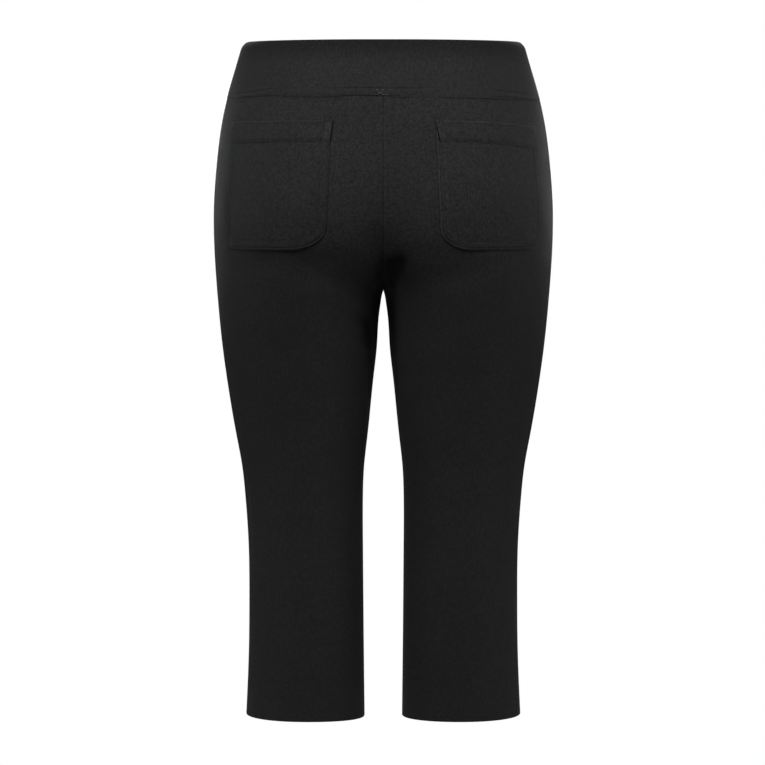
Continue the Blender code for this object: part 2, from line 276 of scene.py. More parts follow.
def outer_quarter(start, corner, end):
    """A ring's curve that rounds a corner, as a quarter of an ellipse."""
    return [start, start + QUARTER * (corner - start), end + QUARTER * (corner - end), end]


def ring_handles(height):
    """The four curves of the half ring at each height: (heights, 4, 4 points, x and y)."""
    rolled = np.clip(1 + height / ROLL_HEIGHT, 0, None) ** 2
    side_x = SIDE_AT(height) * MM - ROLL_IN * rolled
    middle = SIDE_DEPTH(height) * MM
    back = BACK_AT(height) * MM
    front = FRONT_AT(height) * MM
    inner = np.maximum(INSIDE_AT(height) * MM, SEAM_GAP / 2)
    back_x = inner + BACK_SHARE(height) * (side_x - inner)
    front_x = inner + FRONT_SHARE(height) * (side_x - inner)
    side = np.array([side_x, middle])
    quarters = [
        inner_quarter(height, back_x, back, middle),
        outer_quarter(np.array([back_x, back]), np.array([side_x, back]), side),
        outer_quarter(side, np.array([side_x, front]), np.array([front_x, front])),
        inner_quarter(height, front_x, front, middle)[::-1],
    ]
    return np.moveaxis(np.array(quarters), -1, 0)


CROTCH = crotch_height()


def bezier(handles, share):
    """The point and the direction at a share of the way along a curve."""
    a, b, c, d = (handles[..., i, :] for i in range(4))
    t = share[..., None]
    s = 1 - t
    point = s ** 3 * a + 3 * s * s * t * b + 3 * s * t * t * c + t ** 3 * d
    direction = s * s * (b - a) + 2 * s * t * (c - b) + t * t * (d - c)
    return point, direction


def ring_lengths(handles):
    """The distances along each half ring of its sampled points, and the points."""
    t = np.linspace(0, 1, SAMPLES + 1)
    weights = np.stack([(1 - t) ** 3, 3 * (1 - t) ** 2 * t, 3 * (1 - t) * t ** 2, t ** 3], axis=1)
    quarters = np.einsum("sk,nqkc->nqsc", weights, handles)
    count = len(handles)
    points = quarters[:, :, :-1].reshape(count, 4 * SAMPLES, 2)
    points = np.concatenate([points, quarters[:, 3, -1:]], axis=1)
    steps = np.linalg.norm(np.diff(points, axis=1), axis=2)
    return np.concatenate([np.zeros((count, 1)), np.cumsum(steps, axis=1)], axis=1), points


def look_up(lengths, target):
    """For each ring, the sample before the target and the share of the step after it."""
    before = np.clip((lengths < target[:, None]).sum(axis=1) - 1, 0, lengths.shape[1] - 2)
    rows = np.arange(len(lengths))
    low = lengths[rows, before]
    high = lengths[rows, before + 1]
    return before, np.clip((target - low) / np.maximum(high - low, TINY), 0, 1)


def outseam_at(height, lengths):
    """How far along each half ring the outseam is, from the centre back."""
    return lengths[:, 2 * SAMPLES] - OUTSEAM_BEHIND(height) * MM


def reach(height):
    """The cloth's width from the outseam to the inner edge, at the back and at the front."""
    lengths, _ = ring_lengths(ring_handles(height))
    seam = outseam_at(height, lengths)
    return seam, lengths[:, -1] - seam


def place(height, around):
    """Points on the form and directions there, at heights and distances from the outseam."""
    handles = ring_handles(height)
    lengths, _ = ring_lengths(handles)
    target = np.clip(outseam_at(height, lengths) - around, 0, lengths[:, -1])
    before, share = look_up(lengths, target)
    spot = (before + share) / SAMPLES
    quarter = np.minimum(spot.astype(int), 3)
    point, direction = bezier(handles[np.arange(len(height)), quarter], spot - quarter)
    return np.column_stack([point, height]), np.column_stack([-direction, np.zeros(len(height))])


def around_at(height, distance_out):
    """How far round from the outseam the back's cloth is this far out from the middle."""
    lengths, points = ring_lengths(ring_handles(height))
    before, share = look_up(points[:, :2 * SAMPLES + 1, 0], distance_out)
    rows = np.arange(len(height))
    length = lengths[rows, before] * (1 - share) + lengths[rows, before + 1] * share
    return outseam_at(height, lengths) - length


def form(height, around):
    """Points on the form and the cloth's outward directions there, for arrays of any shape."""
    shape = height.shape
    height = height.ravel()
    around = around.ravel()
    points, normals = [], []
    for first in range(0, len(height), BLOCK):
        part = slice(first, first + BLOCK)
        point, direction = place(height[part], around[part])
        lower, _ = place(height[part] - SLOPE_STEP, around[part])
        points.append(point)
        normals.append(unit(np.cross(lower - point, direction)))
    return (np.concatenate(points).reshape(*shape, 3),
            np.concatenate(normals).reshape(*shape, 3))


# Helpers for the finish of the cloth

def bump(distance, width):
    """1 at no distance, falling off smoothly over the width."""
    return np.exp(-(distance / width) ** 2)


def streak(distance, line):
    """A soft line: its strength, its distance from where the distance starts, and its width."""
    strength, place, width = line
    return strength * bump(distance - place, width)


def varied(amount, phase):
    """A strength that waves below 1 by up to twice an amount."""
    return 1 - amount + amount * np.sin(phase)


def seam_turn(distance, dip=SEAM_DIP):
    """How far the cloth has turned in at a distance from a seam."""
    return dip * np.clip(1 - distance / SEAM_ROLL, 0, 1) ** 2


def round_edge(distance, radius):
    """How far a skin draws in at a distance from a folded edge."""
    share = np.clip(1 - distance / radius, 0, 1)
    return radius * (1 - np.sqrt(1 - share ** 2))


def spacing(length, step, fine, count):
    """Distances from 0 to a length, with steps that grow from fine at both of its ends."""
    near = fine * sums(np.linspace(1, step / fine, count))
    middle = length - 2 * near[-1]
    inner = np.linspace(0, middle, max(2, int(round(middle / step)) + 1)) + near[-1]
    return np.concatenate([near[:-1], inner, (length - near[:-1])[::-1]])


# A soft line on the cloth, in millimetres: from a place to another, as the distance across and
# the height. A trough has a negative depth, a ridge a positive one. Its shade is painted shade
# that darkens the cloth's colour in it, and a painted highlight that brightens it where negative.
LINE_COLUMN_NAMES = ("from_across", "from_height", "to_across", "to_height", "bow", "width",
                     "depth", "shade")
CREASE_ENDS = 0.25  # the share of its length over which a crease dies out
MARK_ENDS = 0.10
# Creases on the leg panels, with painted shade in their troughs, in the crotch and along the inner
# legs and painted highlights on some ridges, and the painted highlight line along the lower
# outseams, which has a row for each of the two panels. The distance across is round from the
# outseam.
CREASES = {
    "back_left": (
        (300, -224, 293, -262, 0, 20, -1.6, 0.16),
        (295, -262, 297, -290, 0, 6.5, -0.9, 0.55),
        (300, -296, 282, -322, 0, 11, 0.5, -0.85),
        (266, -340, 256, -376, 2, 17, -2.6, 1.00),
        (264, -372, 244, -446, 1, 13, -1.2, 1.05),
        (152, -262, 84, -263, 0, 14, -0.3, 0.24),
        (262, -262, 140, -256, 0, 15, -1.0, 0.32),
        (292, -238, 170, -240, 0, 13, -0.4, 0.14),
        (258, -284, 168, -279, 0, 19, -2.4, 0.10),
        (230, -318, 150, -322, 0, 34, -1.1, 0.00),
        (236, -300, 196, -262, 5, 13, -0.8, 0.05),
        (150, -520, 60, -534, 5, 15, -0.7, 0.00),
        (165, -556, 45, -572, -5, 17, -0.8, 0.00),
        (120, -600, 40, -592, 3, 13, -0.4, 0.00),
        (70, -680, 110, -770, 6, 20, -0.6, 0.00),
        (150, -420, 120, -490, -5, 22, -0.6, 0.00),
        (40, -360, 25, -470, 4, 22, 0.6, 0.00),
        (5, -555, 1, -645, 0, 3.5, 0.0, -0.50),
        (0, -655, 0, -780, 0, 4, 0.0, -0.25),
        (0, -800, 0, -830, 0, 9, 0.0, -0.35),
    ),
    "back_right": (
        (300, -224, 293, -258, 0, 18, -1.2, 0.12),
        (280, -256, 180, -254, 0, 14, -0.8, 0.20),
        (268, -263, 304, -301, 0, 11, -2.0, 0.80),
        (264, -269, 294, -267, 0, 6.5, -0.8, 0.55),
        (265, -275, 294, -300, 0, 7, -0.7, 0.60),
        (291, -266, 306, -300, 0, 9, -0.5, 0.50),
        (302, -312, 264, -394, 0, 12, -1.0, 1.00),
        (262, -396, 246, -440, 0, 9, -0.4, 0.75),
        (236, -450, 196, -580, 0, 9, -0.3, 0.32),
        (250, -283, 165, -279, 0, 19, -2.2, 0.08),
        (225, -318, 150, -322, 0, 34, -1.1, 0.00),
        (215, -292, 150, -276, 4, 15, -0.6, 0.00),
        (150, -512, 50, -528, 4, 16, -0.7, 0.00),
        (160, -560, 70, -570, 5, 15, -0.6, 0.00),
        (95, -690, 60, -780, -5, 21, -0.7, 0.00),
        (140, -400, 165, -470, 4, 24, -0.5, 0.00),
        (30, -350, 40, -450, -4, 20, 0.5, 0.00),
        (-3, -683, -6, -728, 0, 3, 0.0, -0.80),
    ),
    "front_left": (
        (280, -250, 190, -228, 6, 11, -1.5, 0.05),
        (290, -278, 170, -276, -6, 12, -1.7, 0.10),
        (300, -318, 200, -338, 6, 13, -1.2, 0.05),
        (285, -150, 200, -166, 5, 18, -0.7, 0.00),
        (190, -520, 80, -540, -5, 16, -0.9, 0.00),
        (200, -560, 90, -556, 5, 18, -0.8, 0.00),
        (120, -660, 150, -760, 5, 22, -0.8, 0.00),
        (90, -320, 120, -430, -6, 24, 0.8, 0.00),
        (-5, -555, -1, -645, 0, 3.5, 0.0, -0.50),
        (0, -655, 0, -780, 0, 4, 0.0, -0.25),
        (0, -800, 0, -830, 0, 9, 0.0, -0.35),
    ),
    "front_right": (
        (284, -240, 200, -214, 5, 12, -1.4, 0.05),
        (292, -284, 180, -288, 6, 11, -1.8, 0.10),
        (296, -330, 215, -346, -5, 13, -1.0, 0.05),
        (275, -170, 190, -158, -4, 17, -0.6, 0.00),
        (185, -530, 70, -536, 5, 15, -0.9, 0.00),
        (205, -572, 110, -580, -5, 17, -0.7, 0.00),
        (130, -680, 100, -775, -5, 21, -0.8, 0.00),
        (80, -340, 70, -440, 5, 22, 0.7, 0.00),
        (3, -683, 6, -728, 0, 3, 0.0, -0.80),
    ),
}
# Puckers at the waist seam, with painted shade in their dips and painted highlights on their
# ridges, and a painted highlight beside the left pocket's band. The distance across is out from
# the middle, left positive.
MARKS = {
    "back": (
        (48, -70.6, 124, -69.8, 0, 2.6, -0.25, 0.30),
        (60.2, -100, 61.9, -122, 0, 0.9, 0.08, -0.30),
        (-8, -68.0, -20, -68.1, 0, 0.8, -0.30, 0.45),
        (-108, -68.2, -130, -68.9, 0, 0.8, -0.12, 0.15),
        (-133, -69.0, -154, -70.1, 0, 0.9, -0.35, 0.45),
        (-157, -70.4, -187, -73.2, 0, 0.9, -0.30, 0.30),
        (-146, -65.6, -188, -69.4, 0, 1.1, 0.14, -0.25),
        (142, -57.6, 178, -61.8, 0, 1.2, 0.16, -0.25),
        (140, -63.4, 178, -67.2, 0, 1.1, 0.12, -0.20),
        (178, -69.4, 187, -67.8, 0, 1.6, 0.55, -0.60),
        (166, -74.8, 182, -74.2, 0, 1.4, -0.20, 0.30),
    ),
    "front": (
        (-52, -70.2, -118, -69.6, 0, 2.4, -0.25, 0.25),
        (30, -68.6, 62, -69.0, 0, 0.9, -0.25, 0.35),
        (120, -69.0, 150, -70.2, 0, 0.9, -0.30, 0.40),
        (-140, -64.0, -180, -67.8, 0, 1.2, 0.14, -0.20),
        (138, -62.0, 176, -66.0, 0, 1.2, 0.14, -0.20),
    ),
}


def soft_lines(table, across, height, ends):
    """How far the soft lines of a table move the cloth out, and how much painted shade they give
    it.
    """
    moved = np.zeros_like(height)
    shade = np.zeros_like(height)
    for row in table:
        line = dict(zip(LINE_COLUMN_NAMES, row))
        start = np.array([line["from_across"], line["from_height"]]) * MM
        run = np.array([line["to_across"], line["to_height"]]) * MM - start
        length = np.linalg.norm(run)
        run = run / length
        offset = np.stack([across, height], axis=-1) - start
        along = offset @ run / length
        aside = offset @ np.array([-run[1], run[0]])
        aside -= line["bow"] * MM * (1 - (2 * along - 1) ** 2)
        near = smooth((along + ends) / (2 * ends)) * smooth((1 + ends - along) / (2 * ends))
        near *= bump(aside, line["width"] * MM)
        moved += line["depth"] * MM * near
        shade += line["shade"] * near
    return moved, shade


# The strip above the waist seam is sewn down along its top. Its line and the seam wander a
# little, in millimetres: distance out from the middle, height and dip of the line, and height
# and dip of the seam.
WAIST_LINES = {
    "back": (
        (-235, -67.5, 0.08, -72.6, 0.10),
        (-186, -66.4, 0.34, -73.4, 0.22),
        (-168, -64.8, 0.34, -73.1, 0.22),
        (-150, -62.9, 0.40, -72.7, 0.16),
        (-134, -61.2, 0.25, -72.4, 0.36),
        (-112, -59.5, 0.08, -71.6, 0.42),
        (-72, -59.2, 0.08, -70.9, 0.42),
        (-66, -59.2, 0.10, -70.6, 0.10),
        (-44, -59.1, 0.26, -70.3, 0.05),
        (-31, -59.1, 0.34, -71.0, 0.12),
        (-24, -59.2, 0.44, -71.2, 0.34),
        (-13, -59.1, 0.30, -70.6, 0.28),
        (-4, -59.0, 0.40, -68.4, 0.34),
        (8, -59.0, 0.46, -68.1, 0.42),
        (44, -59.0, 0.42, -68.2, 0.40),
        (58, -59.0, 0.20, -69.0, 0.10),
        (74, -59.0, 0.10, -69.8, 0.05),
        (118, -59.2, 0.08, -68.3, 0.08),
        (129, -59.3, 0.14, -67.6, 0.32),
        (140, -59.6, 0.42, -68.0, 0.36),
        (160, -62.6, 0.46, -69.1, 0.36),
        (174, -64.8, 0.32, -69.8, 0.26),
        (182, -65.6, 0.08, -69.8, 0.06),
        (235, -67.0, 0.06, -70.2, 0.10),
    ),
    "front": (
        (-235, -67.2, 0.08, -70.8, 0.10),
        (-184, -65.6, 0.36, -71.2, 0.26),
        (-150, -61.2, 0.38, -70.6, 0.32),
        (-126, -59.8, 0.14, -70.0, 0.10),
        (-60, -60.2, 0.16, -70.3, 0.10),
        (-30, -60.3, 0.28, -70.0, 0.30),
        (20, -60.2, 0.30, -69.6, 0.32),
        (58, -60.0, 0.16, -70.2, 0.12),
        (122, -59.9, 0.12, -70.4, 0.20),
        (152, -61.6, 0.40, -70.8, 0.34),
        (182, -65.4, 0.34, -70.6, 0.24),
        (235, -67.0, 0.08, -70.4, 0.10),
    ),
}
WAIST_EASE = 30.5 * MM  # how far from the seam the cloth's rows follow its wandering


def waist_lines(face, out):
    """The line's height and dip and the seam's height and dip, at distances out."""
    table = np.array(WAIST_LINES[face]) * MM
    return [np.interp(out, table[:, 0], table[:, i]) for i in range(1, table.shape[1])]


def follow_seam(height, seam):
    """The heights of the cloth's rows, which near the waist seam go up and down with it."""
    near = smooth(1 - np.abs(height - WAIST_SEAM) / WAIST_EASE)
    return height + (seam - WAIST_SEAM) * near


# Panels

FINE_STEP = 0.5 * MM  # the first step of a grid at its borders
FINE_COUNT = 6  # over how many steps it grows to the full step
PANEL_WIDTH = 300 * MM
PANEL_STEP = 3.2 * MM
PANEL_SHARES = spacing(PANEL_WIDTH, PANEL_STEP, FINE_STEP, FINE_COUNT) / PANEL_WIDTH
UPPER_STEP = 3.0 * MM
LEG_STEP = 4.5 * MM
CROTCH_STEP = 1.0 * MM
HEM_ROWS = (0, 0.12, 0.35, 0.7, 1.1, 1.5, 2.5, 4, 7, 11, 15, 19, 23, 27, 31, 35, 39, 42,
            44, 45.5, 46.5, 47.3, 48, 48.7, 49.5, 50.5)
HEM_GROOVE = 0.12 * MM
HEM_GROOVE_WIDTH = 1.3 * MM
# The hem hangs a little lower towards the inseam.
HEM_DROP = {"left": 2.6 * MM, "right": 1.8 * MM}
HEM_DROP_WIDTH = 130 * MM
HEM_DROP_HEIGHT = 90 * MM
HEM_FOLD = 1.2 * MM  # the height over which the cloth doubles at the hem's upper edge
FOLD_SHORT = 0.05 * MM  # how much less than half the thickness a folded edge's radius is
# The pressed centre-back allowance shows in the right panel, above the crotch, as a ridge with a
# painted highlight beside it.
CENTRE_RIDGE = (0.22 * MM, 1.6 * MM, 1.5 * MM)
CENTRE_RIDGE_START = 15 * MM
CENTRE_HIGHLIGHT = (0.22, 1.2 * MM, 1.0 * MM)
CENTRE_HIGHLIGHT_START = 20 * MM
# The dark lines of the seams, and the painted shade in the waist seam's dips and in the dips of
# the line above it
INNER_SEAM = (0.25, 0.0, 0.8 * MM)
OUTSEAM = (0.15, 0.0, 0.8 * MM)
WAIST_DIPS = (0.6, 0.0, 0.8 * MM)
LINE_DIPS = (0.5, 0.0, 0.8 * MM)
DEEP_DIP = 0.45 * MM  # a dip of this depth has all of its painted shade


def panel_rows(front):
    """Heights along a panel's inner edge and its outseam, from the waist down to the hem."""
    top = WAIST_SEAM - SEAM_GAP / 2
    seam_height = between(CROTCH, top, np.linspace(0, 1, SEAM_SAMPLES) ** 2)
    seam_depth = ring_handles(seam_height)[:, 3 * front, 3 * front, 1]
    along = sums(np.hypot(np.diff(seam_height), np.diff(seam_depth)))
    down = spacing(along[-1], UPPER_STEP, FINE_STEP, FINE_COUNT) / along[-1]
    upper = np.interp(along[-1] * (1 - down), along, seam_height)
    upper_out = between(top, CROTCH_ROW_AT_OUTSEAM, down)
    hem_rows = HEM + np.array(HEM_ROWS[::-1]) * MM
    leg_length = CROTCH - hem_rows[0]
    leg = spacing(2 * leg_length, LEG_STEP, CROTCH_STEP, FINE_COUNT)
    leg = leg[leg < leg_length - LEG_STEP / 2][1:]
    lower = np.concatenate([CROTCH - leg, hem_rows])
    share = (lower - CROTCH) / (hem_rows[0] - CROTCH)
    lower_out = between(CROTCH_ROW_AT_OUTSEAM, hem_rows[0], share)
    lower_out = np.where(lower < hem_rows[0], lower, lower_out)
    return np.concatenate([upper, lower]), np.concatenate([upper_out, lower_out])


def panel(front, name):
    """A leg panel on the left half: its outer and inner points, flat places and painted shade."""
    edge, outseam = panel_rows(front)
    inward = 1 - PANEL_SHARES
    height = between(outseam[:, None], edge[:, None], inward ** ROW_EASE)
    inset = np.where(edge <= CROTCH, SEAM_GAP / 2, 0)
    width = reach(edge)[int(front)] - inset
    around = between(SEAM_GAP / 2, width[:, None], inward)
    face, side = name.split("_")
    left = 1 if side == "left" else -1
    points, _ = form(height, -around if front else around)
    _, _, seam, dip = waist_lines(face, left * points[..., 0])
    height = follow_seam(height, seam)
    width = reach(height[:, 0])[int(front)] - inset
    around = between(SEAM_GAP / 2, width[:, None], inward)
    to_inner = width[:, None] - around
    to_hem = height - HEM
    to_waist = seam - height
    drop = HEM_DROP[side] * smooth(1 - to_inner / HEM_DROP_WIDTH)
    drop *= smooth(1 - to_hem / HEM_DROP_HEIGHT)
    points, outward = form(height - drop, -around if front else around)
    moved, shade = soft_lines(CREASES[name], around, height, CREASE_ENDS)
    fade = smooth(to_inner / SEAM_FADE) * smooth(around / SEAM_FADE)
    moved *= fade * smooth(to_waist / SEAM_FADE)
    marked, mark_shade = soft_lines(MARKS[face], left * points[..., 0], height, MARK_ENDS)
    moved += marked * smooth(around / SEAM_FADE)
    moved -= seam_turn(around)
    moved -= seam_turn(to_waist, dip)
    moved -= HEM_GROOVE * bump(to_hem - HEM_DEPTH, HEM_GROOVE_WIDTH)
    if name == "back_right":
        above = height - CROTCH
        moved += smooth(above / CENTRE_RIDGE_START) * streak(to_inner, CENTRE_RIDGE)
        shade -= smooth(above / CENTRE_HIGHLIGHT_START - 1) * streak(to_inner, CENTRE_HIGHLIGHT)
    # Above the crotch the inner edges meet in the plane x = 0 and turn in along it.
    turned = outward.copy()
    turned[..., 0] *= np.where(edge > CROTCH, 0, 1)[:, None]
    points = points - unit(turned) * seam_turn(to_inner)[..., None]
    doubled = smooth((HEM_DEPTH + HEM_FOLD - to_hem) / HEM_FOLD)
    thickness = between(PANEL_THICKNESS, HEM_THICKNESS, doubled)
    folded = round_edge(to_hem, HEM_THICKNESS / 2 - FOLD_SHORT)
    outer = points + outward * (moved - folded)[..., None]
    inner = points + outward * (moved - thickness + folded)[..., None]
    shade += mark_shade + streak(to_inner, INNER_SEAM) + streak(around, OUTSEAM)
    shade += dip / DEEP_DIP * streak(to_waist, WAIST_DIPS)
    return outer, inner, np.stack([around, height], axis=-1), shade


# Waistband

WAISTBAND_HALF = 268 * MM
WAISTBAND_STEP = 2.4 * MM
WAISTBAND_FINE_COUNT = 5
LAST_STEP = 0.3 * WAISTBAND_STEP  # the least that is left for the last step to the middle
WAISTBAND_ROWS = (0, 0.1, 0.3, 0.6, 1.0, 1.4, 2.2, 3.5, 5.5, 8, 11, 15, 19, 23, 27, 31, 35, 39,
                  43, 47, 50, 52.5, 54.5, 56, 57, 57.8, 58.5, 59.2, 59.9, 60.6, 61.3, 62, 62.8,
                  63.6, 64.4, 65.2, 66, 66.7, 67.4, 68, 68.6, 69.2, 69.7, 70.1, 70.46)
SEAM_PROUD = 0.1 * MM  # how far the band stands out at the waist seam
PROUD_RISE = 8 * MM  # how far above it the band stands out fully
PUFF = 0.088 * MM  # how far the strip above the seam stands out
PUFF_AT_DIP = 0.6  # and how much more for each part of the dip above it
LINE_WIDTH = 0.8 * MM
# A slow wave along the band, which fades out at its top
BAND_WAVE = 0.2 * MM
BAND_WAVE_LENGTH = 31 * MM
BAND_WAVE_START = 0.6
BAND_WAVE_FADE = 20 * MM
# Painted shade, darker towards the waistband's top, over this depth
TOP_SHADE = 0.55
TOP_SHADE_DEPTH = 34 * MM


def waistband(front, face):
    """A waistband half, from one outseam to the other, as a panel's cloth is given."""
    rows = -np.array(WAISTBAND_ROWS) * MM
    across = spacing(2 * WAISTBAND_HALF, WAISTBAND_STEP, FINE_STEP, WAISTBAND_FINE_COUNT)
    across = across[across < WAISTBAND_HALF - LAST_STEP] / WAISTBAND_HALF
    across = np.append(across, 1.0)
    width = reach(rows)[int(front)]
    around = between(SEAM_GAP / 2, width[:, None], across)
    height = np.broadcast_to(rows[:, None], around.shape)
    points, _ = form(height, -around if front else around)
    from_centre = width[:, None] - around
    halves = []
    for left in (1, -1):
        out = left * points[..., 0]
        line_height, line_dip, seam, dip = waist_lines(face, out)
        settled = follow_seam(height, seam)
        cloth, outward = form(settled, -around if front else around)
        cloth[:, -1, 0] = 0.0
        outward[:, -1, 0] = 0.0
        outward = unit(outward)
        below = np.clip((line_height - settled) / (line_height - seam), 0, 1)
        puff = np.sin(np.pi * below) * (PUFF + PUFF_AT_DIP * line_dip)
        moved, shade = soft_lines(MARKS[face], out, settled, MARK_ENDS)
        to_seam = settled - seam
        moved += between(SEAM_PROUD, WAISTBAND_PROUD, smooth(to_seam / PROUD_RISE))
        moved += puff - line_dip * bump(settled - line_height, LINE_WIDTH)
        moved -= seam_turn(to_seam, dip)
        moved -= seam_turn(around)
        wavy = np.sin(left * from_centre / BAND_WAVE_LENGTH + BAND_WAVE_START)
        moved += BAND_WAVE * wavy * smooth(-settled / BAND_WAVE_FADE)
        folded = round_edge(-settled, WAISTBAND_THICKNESS / 2 - FOLD_SHORT)
        outer = cloth + outward * (moved - folded)[..., None]
        inner = cloth + outward * (WAISTBAND_PROUD - WAISTBAND_THICKNESS + folded)[..., None]
        shade += streak(around, OUTSEAM) + dip / DEEP_DIP * streak(to_seam, WAIST_DIPS)
        shade += line_dip / DEEP_DIP * streak(settled - line_height, LINE_DIPS)
        shade += TOP_SHADE * smooth(1 + settled / TOP_SHADE_DEPTH)
        flat = np.stack([left * from_centre, settled], axis=-1)
        side = np.array([left, 1, 1])
        halves.append((outer * side, inner * side, flat, shade))
    return [np.concatenate([one, other[:, -2::-1]], axis=1) for one, other in zip(*halves)]


# Pockets

def rounded(distance, width, height):
    """How far an edge draws in at a rounded corner, at a distance above the corner's foot."""
    share = np.clip(1 - distance / height, 0, 1)
    return width * (1 - np.sqrt(1 - share ** 2))


def pocket_shape(side):
    """A pocket's sizes by name, in metres."""
    return dict(zip(POCKET_COLUMN_NAMES, np.array(POCKETS[side]) * MM))


def pocket_edges(side, height_inner, height_outer):
    """The distances round from the outseam of a pocket's two edges at their heights."""
    shape = pocket_shape(side)
    down = (POCKET_TOP - height_inner) / (POCKET_TOP - POCKET_BOTTOM)
    inner = between(POCKET_INNER_TOP, POCKET_INNER_BOTTOM, down)
    inner += rounded(height_inner - POCKET_BOTTOM, shape["corner_width"], shape["corner_height"])
    outer = POCKET_OUTER_AT(height_outer) * MM
    outer -= rounded(height_outer - POCKET_BOTTOM, shape["clip_width"], shape["clip_height"])
    return around_at(height_inner, inner), around_at(height_outer, outer)


POCKET_WIDTH = 130.0  # in millimetres, as are the steps
INNER_STEPS = (0, 0.15, 0.35, 0.6, 0.9, 1.3, 1.8, 2.3, 2.8, 3.3, 3.9, 4.8, 5.9, 7.1, 8.2, 9.0, 9.6,
               10.2, 10.8, 11.3, 11.8, 12.5, 13.4, 14.6, 16.0)
OUTER_STEPS = (0, 0.2, 0.5, 0.9, 1.4, 2.0, 2.6, 3.2, 4.0, 5.0, 6.2)
MIDDLE_STEPS = 72
POCKET_ACROSS = np.concatenate([
    INNER_STEPS,
    np.linspace(INNER_STEPS[-1], POCKET_WIDTH - OUTER_STEPS[-1], MIDDLE_STEPS)[1:-1],
    POCKET_WIDTH - np.array(OUTER_STEPS[::-1])]) / POCKET_WIDTH
# The rows above a pocket's foot, whose rounded corner needs them close together at its end.
FOOT_STEPS = (0, 0.01, 0.04, 0.1, 0.2, 0.35, 0.55, 0.8, 1.1, 1.45, 1.8, 2.2, 2.6, 3.0, 3.5, 4.1,
              5.0, 6.0, 7.0, 8.0, 8.8, 9.4, 9.9, 10.4, 10.9, 11.4, 12.0, 12.8, 13.8, 15.0, 16.5,
              18.0, 19.5, 21.0)
FOOT_ROWS = 78  # from there up to the band
TUCK_ROWS = 10  # and under it
BAND_STEP = 0.9 * MM
BAND_FINE_STEP = 0.2 * MM
BAND_DOWN = spacing(BAND_DEPTH, BAND_STEP, BAND_FINE_STEP, FINE_COUNT) / BAND_DEPTH
OUTLINE_ROWS = 90  # the points down the straight of a pocket's outline
CORNER_ROWS = 40  # and round a corner


def band_edges(side, share):
    """The heights of a band's top and foot at a share of its length."""
    shape = pocket_shape(side)
    top = POCKET_TOP - shape["top_drop"] * share ** 2
    return top, POCKET_TOP - BAND_DEPTH - shape["band_drop"] * share ** 2


def pocket_rows(side, across, banded):
    """The heights of a pocket's grid, down its band or from there to its foot."""
    top, band = band_edges(side, across)
    if banded:
        return between(top, band, BAND_DOWN[:, None])
    under = between(top - POCKET_TUCK, band, np.linspace(0, 1, TUCK_ROWS)[:, None])
    foot = POCKET_BOTTOM + np.array(FOOT_STEPS[::-1])[:, None] * MM + 0 * across
    middle = between(band, foot[0], np.linspace(0, 1, FOOT_ROWS)[1:-1, None])
    return np.concatenate([under, middle, foot])


def pocket_outline(side):
    """The pocket's edge in flat places, from the top of the inner edge round to the outer's."""
    shape = pocket_shape(side)
    corner = POCKET_BOTTOM + shape["corner_height"]
    turn = np.linspace(0, np.pi / 2, CORNER_ROWS)[1:]
    down = np.concatenate([np.linspace(POCKET_TOP, corner, OUTLINE_ROWS),
                           corner - shape["corner_height"] * np.sin(turn)])
    outer_corner = POCKET_BOTTOM + shape["clip_height"]
    outer_top = POCKET_TOP - shape["top_drop"]
    up = np.concatenate([outer_corner - shape["clip_height"] * np.sin(turn[::-1]),
                         np.linspace(outer_corner, outer_top, OUTLINE_ROWS)])
    inner, _ = pocket_edges(side, down, down)
    _, outer = pocket_edges(side, up, up)
    return np.column_stack([np.concatenate([inner, outer]), np.concatenate([down, up])])


def evenly(path, step):
    """Points along a path, an even step apart."""
    along = sums(np.linalg.norm(np.diff(path, axis=0), axis=1))
    places = np.linspace(0, along[-1], max(2, int(round(along[-1] / step)) + 1))
    return np.column_stack([np.interp(places, along, path[:, i]) for i in range(path.shape[1])])


NEAR_STEP = 0.5 * MM  # how far apart the points are to which a distance is measured
NEAR_BLOCK = 64  # and how many of them are looked at together


def distance_to(path, flat):
    """How far each flat place is from a path."""
    path = evenly(path, NEAR_STEP)
    places = flat.reshape(-1, 2)
    nearest = np.full(len(places), np.inf)
    for first in range(0, len(path), NEAR_BLOCK):
        apart = places[:, None] - path[None, first:first + NEAR_BLOCK]
        nearest = np.minimum(nearest, np.linalg.norm(apart, axis=2).min(axis=1))
    return nearest.reshape(flat.shape[:-1])


DRAWN_STEP = 1.0 * MM


def drawn_in(path, distance):
    """A path moved in from the pocket's edge, on the side that the outseam lies on."""
    path = evenly(path, DRAWN_STEP)
    step = unit(np.gradient(path, axis=0))
    return path + np.column_stack([step[:, 1], -step[:, 0]]) * distance


# Small folds at a pocket's corners, with painted shade and painted highlights on them. The
# distance across is round from the outseam.
POCKET_FOLDS = {
    "left": (
        (206, -250, 225, -238, -2.0, 1.5, 0.30, -0.75),
        (203, -246, 220, -233, -1.5, 1.2, -0.20, 0.40),
        (92, -250, 90, -238, 0, 2.2, 0.25, -0.55),
        (98, -249, 95, -238, 0, 1.3, -0.15, 0.40),
        (86, -206, 87, -236, 0, 0.9, -0.10, 0.45),
    ),
    "right": (
        (226, -236, 214, -247, 1.0, 1.1, -0.25, 0.60),
        (221, -235, 209, -244, 1.0, 1.1, -0.20, 0.45),
        (211, -248, 190, -250, 0, 1.2, 0.15, -0.40),
        (104, -241, 92, -236, 0, 2.0, 0.25, -0.50),
        (102, -248, 93, -243, 0, 1.3, -0.15, 0.40),
    ),
}
